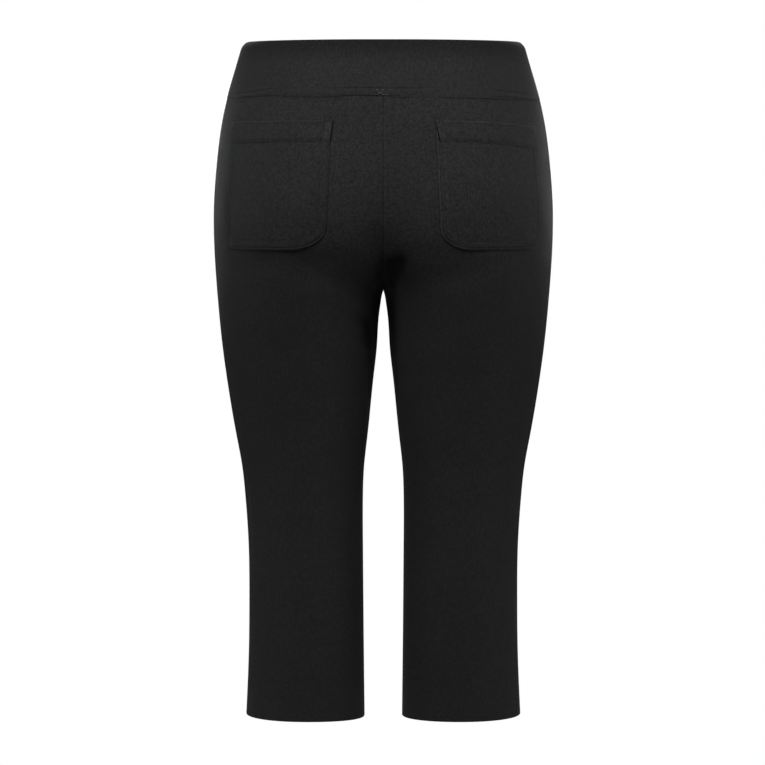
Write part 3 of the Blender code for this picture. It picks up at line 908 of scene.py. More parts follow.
# Painted highlights along a pocket's lines, and painted shade where the number is negative: its
# sides' rolled edge, the foot's, the second line of stitching on the sides and on the foot, and
# its band's top, inner end and turned end.
SHINE_NAMES = ("edge", "foot_edge", "line", "foot_line", "top", "end", "turning")
SHINE = {
    "left": (-0.05, 0.55, -0.15, -0.45, 0.45, 0.40, 0.50),
    "right": (0.95, 0.40, 0.95, -0.35, 0.75, 1.10, 0.20),
}
# How dark the painted shade is along the stitched-down outer edge and at the band's inner end,
# and how wide it is.
OUTER_SHADE = {"left": (1.0, 3.0 * MM), "right": (1.1, 1.7 * MM)}
BAND_END_SHADE = {"left": (2.3, 1.4 * MM), "right": (2.0, 1.1 * MM)}

# The form of a pocket's cloth
FOOT_HEIGHT = 26 * MM  # how high its foot reaches, and over what height that fades
FOOT_FADE = 20 * MM
TURNED_SHORT = 0.6 * MM  # how far short of the second stitching the turned edge thins out
TURNED_FADE = 1.6 * MM
TURNED_PUFF = 0.16 * MM  # how far it swells between the edge and the second stitching
POCKET_WAVE = 0.22 * MM  # how high the slow waves in its middle are
POCKET_WAVE_FADE = 20 * MM
WAVE_ACROSS = 13 * MM
WAVE_SLANT = 29 * MM
WAVE_DOWN = 19 * MM
WAVE_START = 0.8
FOOT_PRESS = 0.4 * MM  # how much flatter its foot is pressed, and how far in from the edge
FOOT_PRESS_WIDTH = 4 * MM
POCKET_EDGE_RADIUS = 1.1 * MM

# Its painted shade and highlights: lines as strength, distance in from its edge and width
POCKET_UNEVEN = 0.2
UNEVEN_ACROSS = 4.3 * MM
UNEVEN_DOWN = 5.1 * MM
EDGE_SHADES = (0.8, 0.05)  # painted shade under its edge, on its sides and at its foot
EDGE_SHADE_WIDTH = 0.6 * MM
ROLLED_EDGE = (1.0, 1.7 * MM, 1.0 * MM)
EDGE_GROOVE = (0.35, EDGE_STITCH + 0.3 * MM, 0.6 * MM)
SECOND_LINE = (1.0, 0.0, 0.8 * MM)
OUTER_SIDE = 6 * MM  # how near the outer edge the cloth counts as its stitched-down side
OUTER_SIDE_START = 0.3
OUTER_PLACE = 0.5 * MM
# Down the outer edge the painted shade varies: darker in a knot by its height, and in beads lower
# down
OUTER_LEAST = 0.75
OUTER_KNOT = (0.40, -131 * MM, 6 * MM)
BEAD_SHADES = (0.15, 0.45)
BEAD_TOP = -150 * MM
BEAD_FADE = 20 * MM
BEAD_LENGTH = 1.05 * MM
FOLD_START = 2 * MM  # small folds move the cloth fully from this far inside its edge


def pocket_surface(side, height, around):
    """How far a pocket's outer skin is above the panel, and its painted shade."""
    flat = np.stack([around, height], axis=-1)
    shine = dict(zip(SHINE_NAMES, SHINE[side]))
    second = SECOND_STITCH[side]
    edge = distance_to(pocket_outline(side), flat)
    line = distance_to(pocket_second_line(side), flat)
    foot = smooth((POCKET_BOTTOM + FOOT_HEIGHT - height) / FOOT_FADE)
    turned = 1 - smooth((edge - second + TURNED_SHORT) / TURNED_FADE)
    lift = POCKET_LIFT + POCKET_THICKNESS + POCKET_TURNING * turned
    lift -= STITCH_GROOVE * bump(edge - EDGE_STITCH, STITCH_GROOVE_WIDTH)
    lift -= STITCH_GROOVE * bump(line, STITCH_GROOVE_WIDTH)
    lift += TURNED_PUFF * np.sin(np.pi * np.clip(edge / second, 0, 1))
    wavy = np.sin(around / WAVE_ACROSS + height / WAVE_SLANT)
    wavy *= np.sin(height / WAVE_DOWN + WAVE_START)
    lift += POCKET_WAVE * wavy * smooth((edge - second) / POCKET_WAVE_FADE)
    lift -= FOOT_PRESS * foot * smooth(1 - edge / FOOT_PRESS_WIDTH)
    lift -= round_edge(edge, POCKET_EDGE_RADIUS)
    uneven = varied(POCKET_UNEVEN, around / UNEVEN_ACROSS + height / UNEVEN_DOWN)
    from_outer = around - around[:, -1:]
    outer_side = 1 - smooth(from_outer / OUTER_SIDE - OUTER_SIDE_START)
    rolled = between(shine["edge"], shine["foot_edge"], foot) * (1 - outer_side)
    sewn_down = between(shine["line"], shine["foot_line"], foot)
    shade = between(*EDGE_SHADES, foot) * bump(edge, EDGE_SHADE_WIDTH)
    shade -= rolled * uneven * streak(edge, ROLLED_EDGE)
    shade += uneven * streak(edge, EDGE_GROOVE)
    shade -= sewn_down * uneven * streak(line, SECOND_LINE)
    dark, wide = OUTER_SHADE[side]
    beads = between(*BEAD_SHADES, smooth((BEAD_TOP - height) / BEAD_FADE))
    outer_shade_share = OUTER_LEAST + streak(height, OUTER_KNOT) + beads * np.sin(height / BEAD_LENGTH)
    shade += dark * outer_side * outer_shade_share * bump(from_outer - OUTER_PLACE, wide)
    moved, fold_shade = soft_lines(POCKET_FOLDS[side], around, height, MARK_ENDS)
    return flat, lift + moved * smooth(edge / FOLD_START), shade + fold_shade


BELOW_BAND = 1.0 * MM  # how far below the band the second line of stitching starts


def pocket_second_line(side):
    """The flat places of the second line of stitching, down the inner edge and along the foot."""
    outline = pocket_outline(side)
    line = drawn_in(outline, SECOND_STITCH[side])
    level = np.array([POCKET_BOTTOM + SECOND_STITCH[side]])
    _, outer = pocket_edges(side, level, level)
    low = line[:, 1] < POCKET_TOP - BAND_DEPTH - BELOW_BAND
    keep = low & (line[:, 0] > outer[0] + 2 * EDGE_STITCH)
    last = np.argmax(~keep & (np.arange(len(line)) > np.argmax(keep)))
    return line[np.argmax(keep):last]


def pocket_body(side):
    """The cloth of a pocket, whose top is tucked under its band."""
    across = POCKET_ACROSS
    height = pocket_rows(side, across, False)
    start, end = pocket_edges(side, height[:, 0], height[:, -1])
    around = between(start[:, None], end[:, None], across)
    points, outward = form(height, around)
    flat, lift, shade = pocket_surface(side, height, around)
    outer = points + outward * lift[..., None]
    inner = points + outward * POCKET_LIFT
    return outer, inner, flat, shade


# The folded band: its stitching's distance from its edges, how much of it is turned under at its
# inner end, and how much flatter it is pressed along its foot
BAND_STITCH = 2.4 * MM
BAND_TURNING = 9.0 * MM
BAND_TURNING_FADE = 2.5 * MM
BAND_TURNING_PROUD = 0.30 * MM
BAND_CROWN = 0.15 * MM
BAND_FOOT_THIN = 0.8 * MM
BAND_FOOT_FADE = 5 * MM
BAND_EDGE_RADIUS = 1.0 * MM
BAND_GROOVE = 0.7 * STITCH_GROOVE

# Its painted shade and highlights: how strong, how far from the named edge, and how wide
BAND_UNEVEN = 0.25
BAND_UNEVEN_LENGTH = 6.1 * MM
BAND_DOTTED = 0.3
TOP_EDGE = (0.30, 0.0, 0.6 * MM)
TOP_SHINE = (1.0, 1.0 * MM, 0.8 * MM)
TOP_GROOVE = (0.22, 3.4 * MM, 1.0 * MM)
FOOT_SHINE = (0.10, 0.0, 1.1 * MM)
END_SHINE = (1.0, 2.1 * MM, 0.8 * MM)
OUTER_END = (0.6, 2.0 * MM, 4.0 * MM)
OUTER_END_TOP = (1.0, 3.0 * MM, 2.5 * MM)
END_PLACE = 0.4 * MM
TACK_DOTS = (2.4, 0.5 * MM, 1.3 * MM)
DOT_PITCH = 3.6 * MM
DOT_COUNT = 3


def pocket_band(side):
    """The cloth of the folded band along a pocket's top."""
    shape = pocket_shape(side)
    across = POCKET_ACROSS
    height = pocket_rows(side, across, True)
    start, end = pocket_edges(side, height[:, 0], height[:, -1])
    start = start + between(shape["top_overhang"], shape["foot_overhang"], BAND_DOWN)
    around = between(start[:, None], end[:, None], across)
    points, outward = form(height, around)
    shine = dict(zip(SHINE_NAMES, SHINE[side]))
    length = np.abs(start - end)[:, None]
    run = BAND_DEPTH * BAND_DOWN[:, None] + 0 * across
    from_foot = BAND_DEPTH - run
    from_end = across[None] * length
    from_outer = length - from_end
    edge = np.minimum(np.minimum(run, from_foot), np.minimum(from_end, from_outer))
    inner_lift = POCKET_LIFT + POCKET_THICKNESS + POCKET_TURNING + BAND_LIFT
    past_turning = from_end - BAND_TURNING
    turning = 1 - smooth(past_turning / BAND_TURNING_FADE + 0.5)
    lift = inner_lift + BAND_THICKNESS - round_edge(edge, BAND_EDGE_RADIUS)
    for line in (from_foot - BAND_STITCH, run - BAND_STITCH, past_turning):
        lift -= BAND_GROOVE * bump(line, STITCH_GROOVE_WIDTH)
    lift += BAND_TURNING_PROUD * turning + BAND_CROWN * np.sin(np.pi * BAND_DOWN)[:, None]
    lift -= BAND_FOOT_THIN * smooth(1 - from_foot / BAND_FOOT_FADE)
    outer = points + outward * lift[..., None]
    inner = points + outward * inner_lift
    uneven = varied(BAND_UNEVEN, around / BAND_UNEVEN_LENGTH + WAVE_START)
    dotted = varied(BAND_DOTTED, 2 * np.pi * run / STITCH_PITCH)
    shade = streak(run, TOP_EDGE) - shine["top"] * uneven * streak(run, TOP_SHINE)
    shade += streak(run, TOP_GROOVE) - uneven * streak(from_foot, FOOT_SHINE)
    shade -= shine["turning"] * turning
    shade -= shine["end"] * dotted * streak(from_end, END_SHINE)
    shade -= streak(from_outer, OUTER_END) * streak(run, OUTER_END_TOP)
    dark, wide = BAND_END_SHADE[side]
    shade += dark * bump(from_end - END_PLACE, wide)
    dots = from_end / DOT_PITCH
    tacked = np.clip(np.sin(2 * np.pi * dots), 0, 1) * smooth(DOT_COUNT + 0.5 - dots)
    shade += tacked * streak(run, TACK_DOTS)
    return outer, inner, np.stack([around, height], axis=-1), shade


# Making the meshes

def wall_faces(rows, columns):
    """Four-sided faces over two equal grids of points and round their borders."""
    index = np.arange(rows * columns).reshape(rows, columns)
    skin = np.stack([index[:-1, :-1], index[1:, :-1], index[1:, 1:], index[:-1, 1:]], axis=-1)
    skin = skin.reshape(-1, 4)
    border = np.concatenate([index[0, :-1], index[:-1, -1], index[-1, :0:-1], index[:0:-1, 0]])
    after = np.roll(border, -1)
    back = rows * columns
    rim = np.column_stack([border, after, after + back, border + back])
    return np.concatenate([skin, skin[:, ::-1] + back, rim])


def facing_in(points, faces):
    """Whether a closed wall's faces turn inwards, from the sign of its volume."""
    a, b, c, d = (points[faces[:, i]] for i in range(4))
    return (a * np.cross(b, c)).sum() + (a * np.cross(c, d)).sum() < 0


def new_object(name, data):
    """An object of the scene."""
    made = bpy.data.objects.new(name, data)
    bpy.context.scene.collection.objects.link(made)
    return made


def add_mesh(name, points, faces, material, sharp=True, turned_out=False):
    """A smooth mesh piece that rides on the one body."""
    mesh = bpy.data.meshes.new(name)
    mesh.from_pydata(points.tolist(), [], faces)
    if turned_out:
        shape = bmesh.new()
        shape.from_mesh(mesh)
        bmesh.ops.recalc_face_normals(shape, faces=shape.faces)
        shape.to_mesh(mesh)
        shape.free()
    mesh.shade_smooth()
    if sharp:
        mesh.set_sharp_from_angle(angle=SHARP_EDGE)
    mesh.materials.append(material)
    made = new_object(name, mesh)
    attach(made, "root")
    return made


def joined(shells):
    """The points and the faces of several shells together."""
    points, faces = [], []
    count = 0
    for more, shapes in shells:
        faces += [[v + count for v in shape] for shape in shapes]
        points.append(more)
        count += len(more)
    return np.concatenate(points), faces


def add_wall(name, cloth, mirrored, material, node):
    """A closed wall of cloth that stands for a solid."""
    outer, inner, flat, shade = cloth
    rows, columns, _ = outer.shape
    points = np.concatenate([outer.reshape(-1, 3), inner.reshape(-1, 3)])
    if mirrored:
        points = points * MIRROR
    faces = wall_faces(rows, columns)
    if facing_in(points, faces):
        faces = faces[:, ::-1]
    made = add_mesh(name, points, faces.tolist(), material)
    mesh = made.data
    skins = np.concatenate([flat.reshape(-1, 2), flat.reshape(-1, 2)])
    layer = mesh.uv_layers.new(name="cut")
    corners = np.empty(len(mesh.loops), np.int32)
    mesh.loops.foreach_get("vertex_index", corners)
    layer.data.foreach_set("uv", skins[corners].astype(np.float32).ravel())
    # The painted shade and painted highlights are stored in the shade attribute.
    shaded = mesh.attributes.new("shade", "FLOAT", "POINT")
    both = np.concatenate([shade.ravel(), shade.ravel()])
    shaded.data.foreach_set("value", np.clip(both, -1, 1).astype(np.float32))
    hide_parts(node)
    return made


THREAD_SIDES = 6
# A stitch's rings: share along its length, share of its thickness, share of its rise.
STITCH_RINGS = ((0.0, 0.35, -0.6), (0.12, 0.85, 0.1), (0.5, 1.0, 0.5), (0.88, 0.85, 0.1),
                (1.0, 0.35, -0.6))


def stitches(points, outward, length, radius):
    """Short threads along a path: each from one point towards the next."""
    vertices, faces = [], []
    turn = np.linspace(0, 2 * np.pi, THREAD_SIDES, endpoint=False)
    for i in range(len(points) - 1):
        run = points[i + 1] - points[i]
        pitch = np.linalg.norm(run)
        if pitch < TINY:
            continue
        run = run / pitch
        aside = np.cross(outward[i], run)
        first = len(vertices)
        for share, thick, rise in STITCH_RINGS:
            centre = points[i] + run * length * share + outward[i] * radius * rise
            for angle in turn:
                vertices.append(centre + radius * thick * (
                    aside * np.cos(angle) + outward[i] * np.sin(angle)))
        for ring in range(len(STITCH_RINGS) - 1):
            for side in range(THREAD_SIDES):
                a = first + ring * THREAD_SIDES + side
                b = first + ring * THREAD_SIDES + (side + 1) % THREAD_SIDES
                faces.append((a, b, b + THREAD_SIDES, a + THREAD_SIDES))
        last = first + (len(STITCH_RINGS) - 1) * THREAD_SIDES
        faces.append(tuple(first + side for side in range(THREAD_SIDES))[::-1])
        faces.append(tuple(last + side for side in range(THREAD_SIDES)))
    return np.array(vertices), faces


def add_stitching(name, lines, mirrored, material):
    """One piece that holds several lines of stitching: (points, outward, length, radius)."""
    points, faces = joined([stitches(*line) for line in lines])
    if mirrored:
        points = points * MIRROR
        faces = [shape[::-1] for shape in faces]
    return add_mesh(name, points, faces, material, sharp=False)


def sewn(flat, lift):
    """A line of stitching on the back, along flat places, at a lift above the panel."""
    path = evenly(flat, STITCH_PITCH)
    points, outward = form(path[:, 1], path[:, 0])
    return points + outward * lift, outward, STITCH_LENGTH, THREAD_RADIUS


# The tacks at the bands' inner ends, in millimetres: distance in from the end and drop below
# the top, at each end of the tack, and the pitch of its stitches.
BARTACKS = {
    "left": ((1.0, 1.2, 11.0, 1.0, 1.7),),
    "right": ((1.1, 0.8, 1.6, 9.0, 0.5),),
}


def bartack(flat, lift, pitch):
    """A dense zigzag of thread from one flat place to another."""
    run = flat[1] - flat[0]
    length = np.linalg.norm(run)
    count = int(length / pitch)
    sway = np.array([-run[1], run[0]]) / length * BARTACK_WIDTH / 2
    share = np.linspace(0, 1, count + 1)[:, None]
    path = flat[0] + run * share + sway * np.where(np.arange(count + 1) % 2, 1, -1)[:, None]
    points, outward = form(path[:, 1], path[:, 0])
    stitch = np.hypot(BARTACK_WIDTH, length / count)
    return points + outward * lift, outward, stitch, THREAD_RADIUS


EDGE_STITCHING_START = 2.0 * MM  # how far below the band a pocket's stitching starts
BAND_STITCHING = np.linspace(0.015, 0.985, 60)  # the share of its length that a line covers
TURNING_STITCHING = np.linspace(0.11, 0.89, 12)
TURNING_STITCH_LIFT = 0.15 * MM
BARTACK_LIFT = 0.45 * MM


def pocket_lines(side):
    """The stitching of one pocket and its band."""
    shape = pocket_shape(side)
    overhangs = shape["top_overhang"], shape["foot_overhang"]
    sunk = POCKET_LIFT + POCKET_THICKNESS + POCKET_TURNING - STITCH_GROOVE + THREAD_RADIUS / 2
    high = sunk + BAND_LIFT + BAND_THICKNESS
    edge = drawn_in(pocket_outline(side), EDGE_STITCH)
    outer = edge[:, 0] < np.median(edge[:, 0])
    edge = edge[edge[:, 1] < (
        POCKET_TOP - BAND_DEPTH - EDGE_STITCHING_START - shape["band_drop"] * outer)]
    lines = [sewn(edge, sunk), sewn(pocket_second_line(side), sunk)]
    share = BAND_STITCHING
    top, band = band_edges(side, share)
    for down in (BAND_STITCH / BAND_DEPTH, 1 - BAND_STITCH / BAND_DEPTH):
        height = between(top, band, down)
        start, end = pocket_edges(side, height[:1], height[-1:])
        start = start + between(*overhangs, down)
        lines.append(sewn(np.column_stack([between(start, end, share), height]), high))
    down = TURNING_STITCHING
    height = POCKET_TOP - BAND_DEPTH * down
    start, _ = pocket_edges(side, height, height)
    start = start + between(*overhangs, down) - BAND_TURNING
    lines.append(sewn(np.column_stack([start, height]), high + TURNING_STITCH_LIFT))
    for from_end, drop, to_end, to_drop, pitch in BARTACKS[side]:
        height = POCKET_TOP - np.array([drop, to_drop]) * MM
        start, _ = pocket_edges(side, height, height)
        start = start + shape["top_overhang"] - np.array([from_end, to_end]) * MM
        lines.append(bartack(np.column_stack([start, height]), high + BARTACK_LIFT, pitch * MM))
    return lines


HEM_PRICK_PITCH = 7.0 * MM
HEM_PRICK_LENGTH = 1.0 * MM
HEM_PRICK_RADIUS = 0.16 * MM
HEM_PRICK_LIFT = 0.04 * MM
HEM_PRICK_CLEAR = 4 * MM  # how far from the inseam they keep


def hem_lines():
    """The pricks of the blind hem round one leg."""
    height = HEM + HEM_DEPTH
    back, front = (width[0] for width in reach(np.array([height])))
    around = np.arange(HEM_PRICK_CLEAR - front, back - HEM_PRICK_CLEAR, HEM_PRICK_PITCH)
    around = np.column_stack([around, around + HEM_PRICK_LENGTH]).ravel()
    points, outward = form(np.full(len(around), height), around)
    points = points - outward * (HEM_GROOVE - HEM_PRICK_LIFT)
    lines = []
    for i in range(0, len(points), 2):
        lines.append((points[i:i + 2], outward[i:i + 2], HEM_PRICK_LENGTH, HEM_PRICK_RADIUS))
    return lines


# The small tack at the centre back, on the strip: strands from and to, in millimetres.
TACK_STRANDS = (
    # from x, from height, to x, to height
    (9.0, -60.6, 4.2, -67.0),
    (7.6, -60.4, 3.0, -66.6),
    (0.4, -60.6, 4.6, -67.0),
    (-0.8, -60.8, 3.2, -66.8),
    (11.5, -66.9, 4.5, -67.6),
    (3.0, -67.6, -5.5, -67.0),
)
TACK_RADIUS = 0.33 * MM
TACK_LIFT = 1.0 * MM


def tack_lines():
    """The strands of the centre-back tack."""
    lines = []
    for row in TACK_STRANDS:
        from_x, from_height, to_x, to_height = np.array(row) * MM
        share = np.linspace(0, 1, 3)
        x = between(from_x, to_x, share)
        height = between(from_height, to_height, share)
        points, outward = form(height, around_at(height, np.abs(x)))
        sign = np.where(x < 0, -1, 1)
        points[:, 0] *= sign
        outward[:, 0] *= sign
        points = points + outward * (WAISTBAND_PROUD + TACK_LIFT)
        length = np.linalg.norm(points[1] - points[0])
        lines.append((points, outward, length, TACK_RADIUS))
    return lines


# A strip's section: the share of its width, and to which side in half thicknesses.
ALLOWANCE_SECTION = ((0, -0.7), (0, 0.7), (0.15, 1), (0.9, 1), (1, 0.6), (1, -0.6), (0.9, -1),
                     (0.15, -1))
ALLOWANCE_END = 3 * MM  # how far from the waist's top and from the hem an outseam's strip ends
CENTRE_END = 2 * MM  # and how far below the waist seam the centre seam's


def allowance(path, inward, aside, closed=False):
    """A narrow strip of cloth inside a seam, along its path."""
    half = ALLOWANCE_THICKNESS / 2
    corners = []
    for share, side in ALLOWANCE_SECTION:
        deep = ALLOWANCE_START + ALLOWANCE_WIDTH * share
        lean = ALLOWANCE_LEAN * share ** 2 + half * side
        corners.append(path + inward * deep + aside * lean)
    points = np.stack(corners, axis=1)
    rows, columns, _ = points.shape
    index = np.arange(rows * columns).reshape(rows, columns)
    after = np.roll(index, -1, axis=0) if closed else index[1:]
    here = index if closed else index[:-1]
    faces = np.stack([here, np.roll(here, -1, axis=1), np.roll(after, -1, axis=1), after], axis=-1)
    faces = faces.reshape(-1, 4).tolist()
    if not closed:
        faces += [index[0, ::-1].tolist(), index[-1].tolist()]
    return points.reshape(-1, 3), faces


def both_sides(path, inward, aside):
    """A strip on the left, and its mirror image on the right."""
    return [allowance(path, inward, aside),
            allowance(path * MIRROR, inward * MIRROR, aside * MIRROR)]


def centre_allowance():
    """From the waist seam down the centre back, through the crotch and up the centre front."""
    height = between(CROTCH, WAIST_SEAM - CENTRE_END, np.linspace(0, 1, SEAM_SAMPLES) ** 2)
    handles = ring_handles(height)
    back = np.column_stack([handles[:, 0, 0, 1], height])
    front = np.column_stack([handles[:, 3, 3, 1], height])
    path = evenly(np.concatenate([back[::-1], front[1:]]), ALLOWANCE_STEP)
    run = unit(np.gradient(path, axis=0))
    none = np.zeros(len(path))
    inward = np.column_stack([none, run[:, 1], -run[:, 0]])
    aside = np.column_stack([none + 1, none, none])
    return [allowance(np.column_stack([none, path]), inward, aside)]


def leg_allowance(outer):
    """Down both outseams, from the waistband's top, or down both inseams."""
    top = -ALLOWANCE_END if outer else CROTCH - ALLOWANCE_WIDTH
    height = np.linspace(top, HEM + ALLOWANCE_END, int((top - HEM) / ALLOWANCE_STEP))
    around = np.zeros(len(height)) if outer else reach(height)[0]
    points, outward = form(height, around)
    aside = unit(np.cross(outward, np.array([0, 0, 1])))
    return both_sides(points, -outward, aside)


def waist_allowance():
    """All the way round the waist seam."""
    back, front = (width[0] for width in reach(np.array([WAIST_SEAM])))
    around = np.linspace(back, -front, int((back + front) / ALLOWANCE_STEP))
    points, outward = form(np.full(len(around), WAIST_SEAM), around)
    points = np.concatenate([points, (points * MIRROR)[-2:0:-1]])
    outward = np.concatenate([outward, (outward * MIRROR)[-2:0:-1]])
    down = np.broadcast_to(np.array([0.0, 0.0, -1.0]), points.shape)
    return [allowance(points, -outward, down, closed=True)]


# Materials

TWILL_PITCH = 0.8 * MM
TWILL_CLIMB = 0.75
CLOTH_COLOUR = (0.0120, 0.0120, 0.0120, 1.0)
THREAD_COLOUR = (0.0105, 0.0105, 0.0105, 1.0)
TACK_COLOUR = (0.034, 0.034, 0.034, 1.0)
FLOOR_COLOUR = (0.62, 0.62, 0.62)
NOISE_RANGE = (0.3, 0.7)  # where most of a noise's values lie
# The weave shows most on the seat, less on the waistband and least on the legs.
SEAT_WEAVE = 0.85
LEG_WEAVE = 0.42
LEG_WEAVE_HEIGHTS = (-0.30, -0.24)
BAND_WEAVE = 0.78  # as a share of the seat's
BAND_WEAVE_HEIGHTS = (-0.072, -0.066)
LIGHTEST = 1.7  # how much a painted highlight brightens the cloth where its shade is -1
DARKEST = 0.2  # and how much painted shade darkens it where it is 1
LEAST_SHADE = 0.1


class Nodes:
    """Short calls for building one material's nodes."""

    def __init__(self, name):
        self.material = bpy.data.materials.new(name)
        self.material.use_nodes = True
        self.tree = self.material.node_tree
        self.shader = self.tree.nodes["Principled BSDF"]

    def add(self, kind, **settings):
        node = self.tree.nodes.new(kind)
        for key, value in settings.items():
            setattr(node, key, value)
        return node

    def join(self, source, target):
        self.tree.links.new(source, target)

    def feed(self, value, socket):
        if isinstance(value, bpy.types.NodeSocket):
            self.join(value, socket)
        else:
            socket.default_value = value

    def maths(self, operation, a, b=0.0, c=0.0):
        node = self.add("ShaderNodeMath", operation=operation)
        for value, socket in zip((a, b, c), node.inputs):
            self.feed(value, socket)
        return node.outputs[0]

    def ramp(self, value, low, high, to_low, to_high):
        node = self.add("ShaderNodeMapRange")
        for i, number in enumerate((value, low, high, to_low, to_high)):
            self.feed(number, node.inputs[i])
        return node.outputs["Result"]

    def noise(self, place, scale, detail, stretch=(1, 1, 1)):
        mapping = self.add("ShaderNodeMapping")
        mapping.inputs["Scale"].default_value = stretch
        self.join(place, mapping.inputs["Vector"])
        node = self.add("ShaderNodeTexNoise")
        node.inputs["Scale"].default_value = scale
        node.inputs["Detail"].default_value = detail
        self.join(mapping.outputs["Vector"], node.inputs["Vector"])
        return node.outputs["Fac"]

    def attribute(self, name):
        return self.add("ShaderNodeAttribute", attribute_name=name).outputs["Fac"]

    def raise_by(self, relief, strength, distance):
        """Fine bumps in the surface."""
        bumps = self.add("ShaderNodeBump")
        bumps.inputs["Strength"].default_value = strength
        bumps.inputs["Distance"].default_value = distance
        self.join(relief, bumps.inputs["Height"])
        self.join(bumps.outputs["Normal"], self.shader.inputs["Normal"])

    def scaled(self, colour, factor):
        """A colour times a number."""
        node = self.add("ShaderNodeVectorMath", operation="SCALE")
        self.feed(colour[:3] if isinstance(colour, tuple) else colour, node.inputs[0])
        self.feed(factor, node.inputs["Scale"])
        return node.outputs["Vector"]


def twill_material():
    """Black stretch twill: a fine diagonal weave, a soft mottle and a little fuzz."""
    n = Nodes("stretch_twill")
    cut = n.add("ShaderNodeUVMap", uv_map="cut").outputs["UV"]
    place = n.add("ShaderNodeTexCoord").outputs["Object"]
    split = n.add("ShaderNodeSeparateXYZ")
    n.join(cut, split.inputs[0])
    # The twill line climbs at an angle to the cloth's own threads.
    turns = 2 * math.pi / TWILL_PITCH
    diagonal = n.maths("ADD", n.maths("MULTIPLY", split.outputs["X"], turns),
                       n.maths("MULTIPLY", split.outputs["Y"], turns * TWILL_CLIMB))
    wobble = n.noise(place, 900.0, 2.0)
    ribs = n.maths("SINE", n.maths("ADD", diagonal, n.maths("MULTIPLY", wobble, 3.0)))
    grain = n.noise(place, 610.0, 3.0)
    mottle = n.noise(place, 300.0, 3.0)
    cloud = n.noise(place, 16.0, 3.0)
    slub_across = n.noise(cut, 1.0, 2.0, stretch=(60.0, 1500.0, 1.0))
    slub_down = n.noise(cut, 1.0, 2.0, stretch=(1500.0, 45.0, 1.0))
    streaks = n.noise(cut, 1.0, 2.0, stretch=(420.0, 150.0, 1.0))
    where = n.add("ShaderNodeSeparateXYZ")
    n.join(place, where.inputs[0])
    height = where.outputs["Z"]
    strength = n.maths("MULTIPLY", n.ramp(height, *LEG_WEAVE_HEIGHTS, LEG_WEAVE, SEAT_WEAVE),
                       n.ramp(height, *BAND_WEAVE_HEIGHTS, 1.0, BAND_WEAVE))
    uneven = n.ramp(ribs, -1.0, 1.0, -0.07, 0.07)
    for pattern, amount in ((grain, 0.40), (mottle, 0.27), (slub_across, 0.10), (slub_down, 0.16)):
        uneven = n.maths("ADD", uneven, n.ramp(pattern, *NOISE_RANGE, -amount, amount))
    shade = n.maths("MULTIPLY_ADD", uneven, strength, n.ramp(streaks, *NOISE_RANGE, 0.88, 1.12))
    shade = n.maths("MULTIPLY", shade, n.ramp(cloud, *NOISE_RANGE, 0.96, 1.04))
    # The shade attribute paints shade and highlights into the colour: painted shade darkens it, a
    # painted highlight brightens it.
    painted_shade = n.attribute("shade")
    shade = n.maths("MULTIPLY", shade, n.ramp(painted_shade, -1.0, 0.0, LIGHTEST, 1.0))
    shade = n.maths("MULTIPLY", shade, n.ramp(painted_shade, 0.0, 1.0, 1.0, DARKEST))
    shade = n.maths("MAXIMUM", shade, LEAST_SHADE)
    n.join(n.scaled(CLOTH_COLOUR, shade), n.shader.inputs["Base Color"])
    n.join(n.ramp(grain, *NOISE_RANGE, 0.78, 0.92), n.shader.inputs["Roughness"])
    n.shader.inputs["Specular IOR Level"].default_value = 0.05
    n.shader.inputs["Sheen Weight"].default_value = 0.02
    n.shader.inputs["Sheen Roughness"].default_value = 0.45
    relief = n.maths("ADD", n.maths("MULTIPLY", ribs, 0.25), n.maths("MULTIPLY", grain, 1.2))
    n.raise_by(relief, 0.35, 0.12 * MM)
    return n.material


def thread_material(name, colour, gloss):
    """Sewing thread, with a twist."""
    n = Nodes(name)
    place = n.add("ShaderNodeTexCoord").outputs["Object"]
    wave = n.add("ShaderNodeTexWave")
    wave.inputs["Scale"].default_value = 900.0
    wave.inputs["Distortion"].default_value = 2.0
    n.join(place, wave.inputs["Vector"])
    shade = n.ramp(wave.outputs["Fac"], 0.0, 1.0, 0.8, 1.25)
    n.join(n.scaled(colour, shade), n.shader.inputs["Base Color"])
    n.join(n.ramp(wave.outputs["Fac"], 0.0, 1.0, 0.5, 0.65), n.shader.inputs["Roughness"])
    n.shader.inputs["Specular IOR Level"].default_value = gloss
    n.raise_by(wave.outputs["Fac"], 0.4, 0.05 * MM)
    return n.material


def floor_material():
    """A pale floor, with a faint mottle."""
    n = Nodes("pale_floor")
    place = n.add("ShaderNodeTexCoord").outputs["Object"]
    shade = n.ramp(n.noise(place, 3.0, 2.0), *NOISE_RANGE, 0.985, 1.0)
    n.join(n.scaled(FLOOR_COLOUR, shade), n.shader.inputs["Base Color"])
    n.shader.inputs["Roughness"].default_value = 0.9
    return n.material


# The scene

def looking(direction):
    """The rotation with which a camera or a light looks in a direction."""
    return Vector(direction).to_track_quat("-Z", "Y").to_euler()


def add_camera():
    """The camera at the photograph's viewing angle."""
    data = bpy.data.cameras.new("camera")
    data.sensor_width = SENSOR_WIDTH
    data.lens = FOCAL_PIXELS / IMAGE_SIDE * SENSOR_WIDTH
    data.clip_start = 0.1
    data.clip_end = 100.0
    camera = new_object("camera", data)
    camera.location = CAMERA_PLACE
    camera.rotation_euler = looking((0.0, -math.cos(CAMERA_TILT), -math.sin(CAMERA_TILT)))
    bpy.context.scene.camera = camera


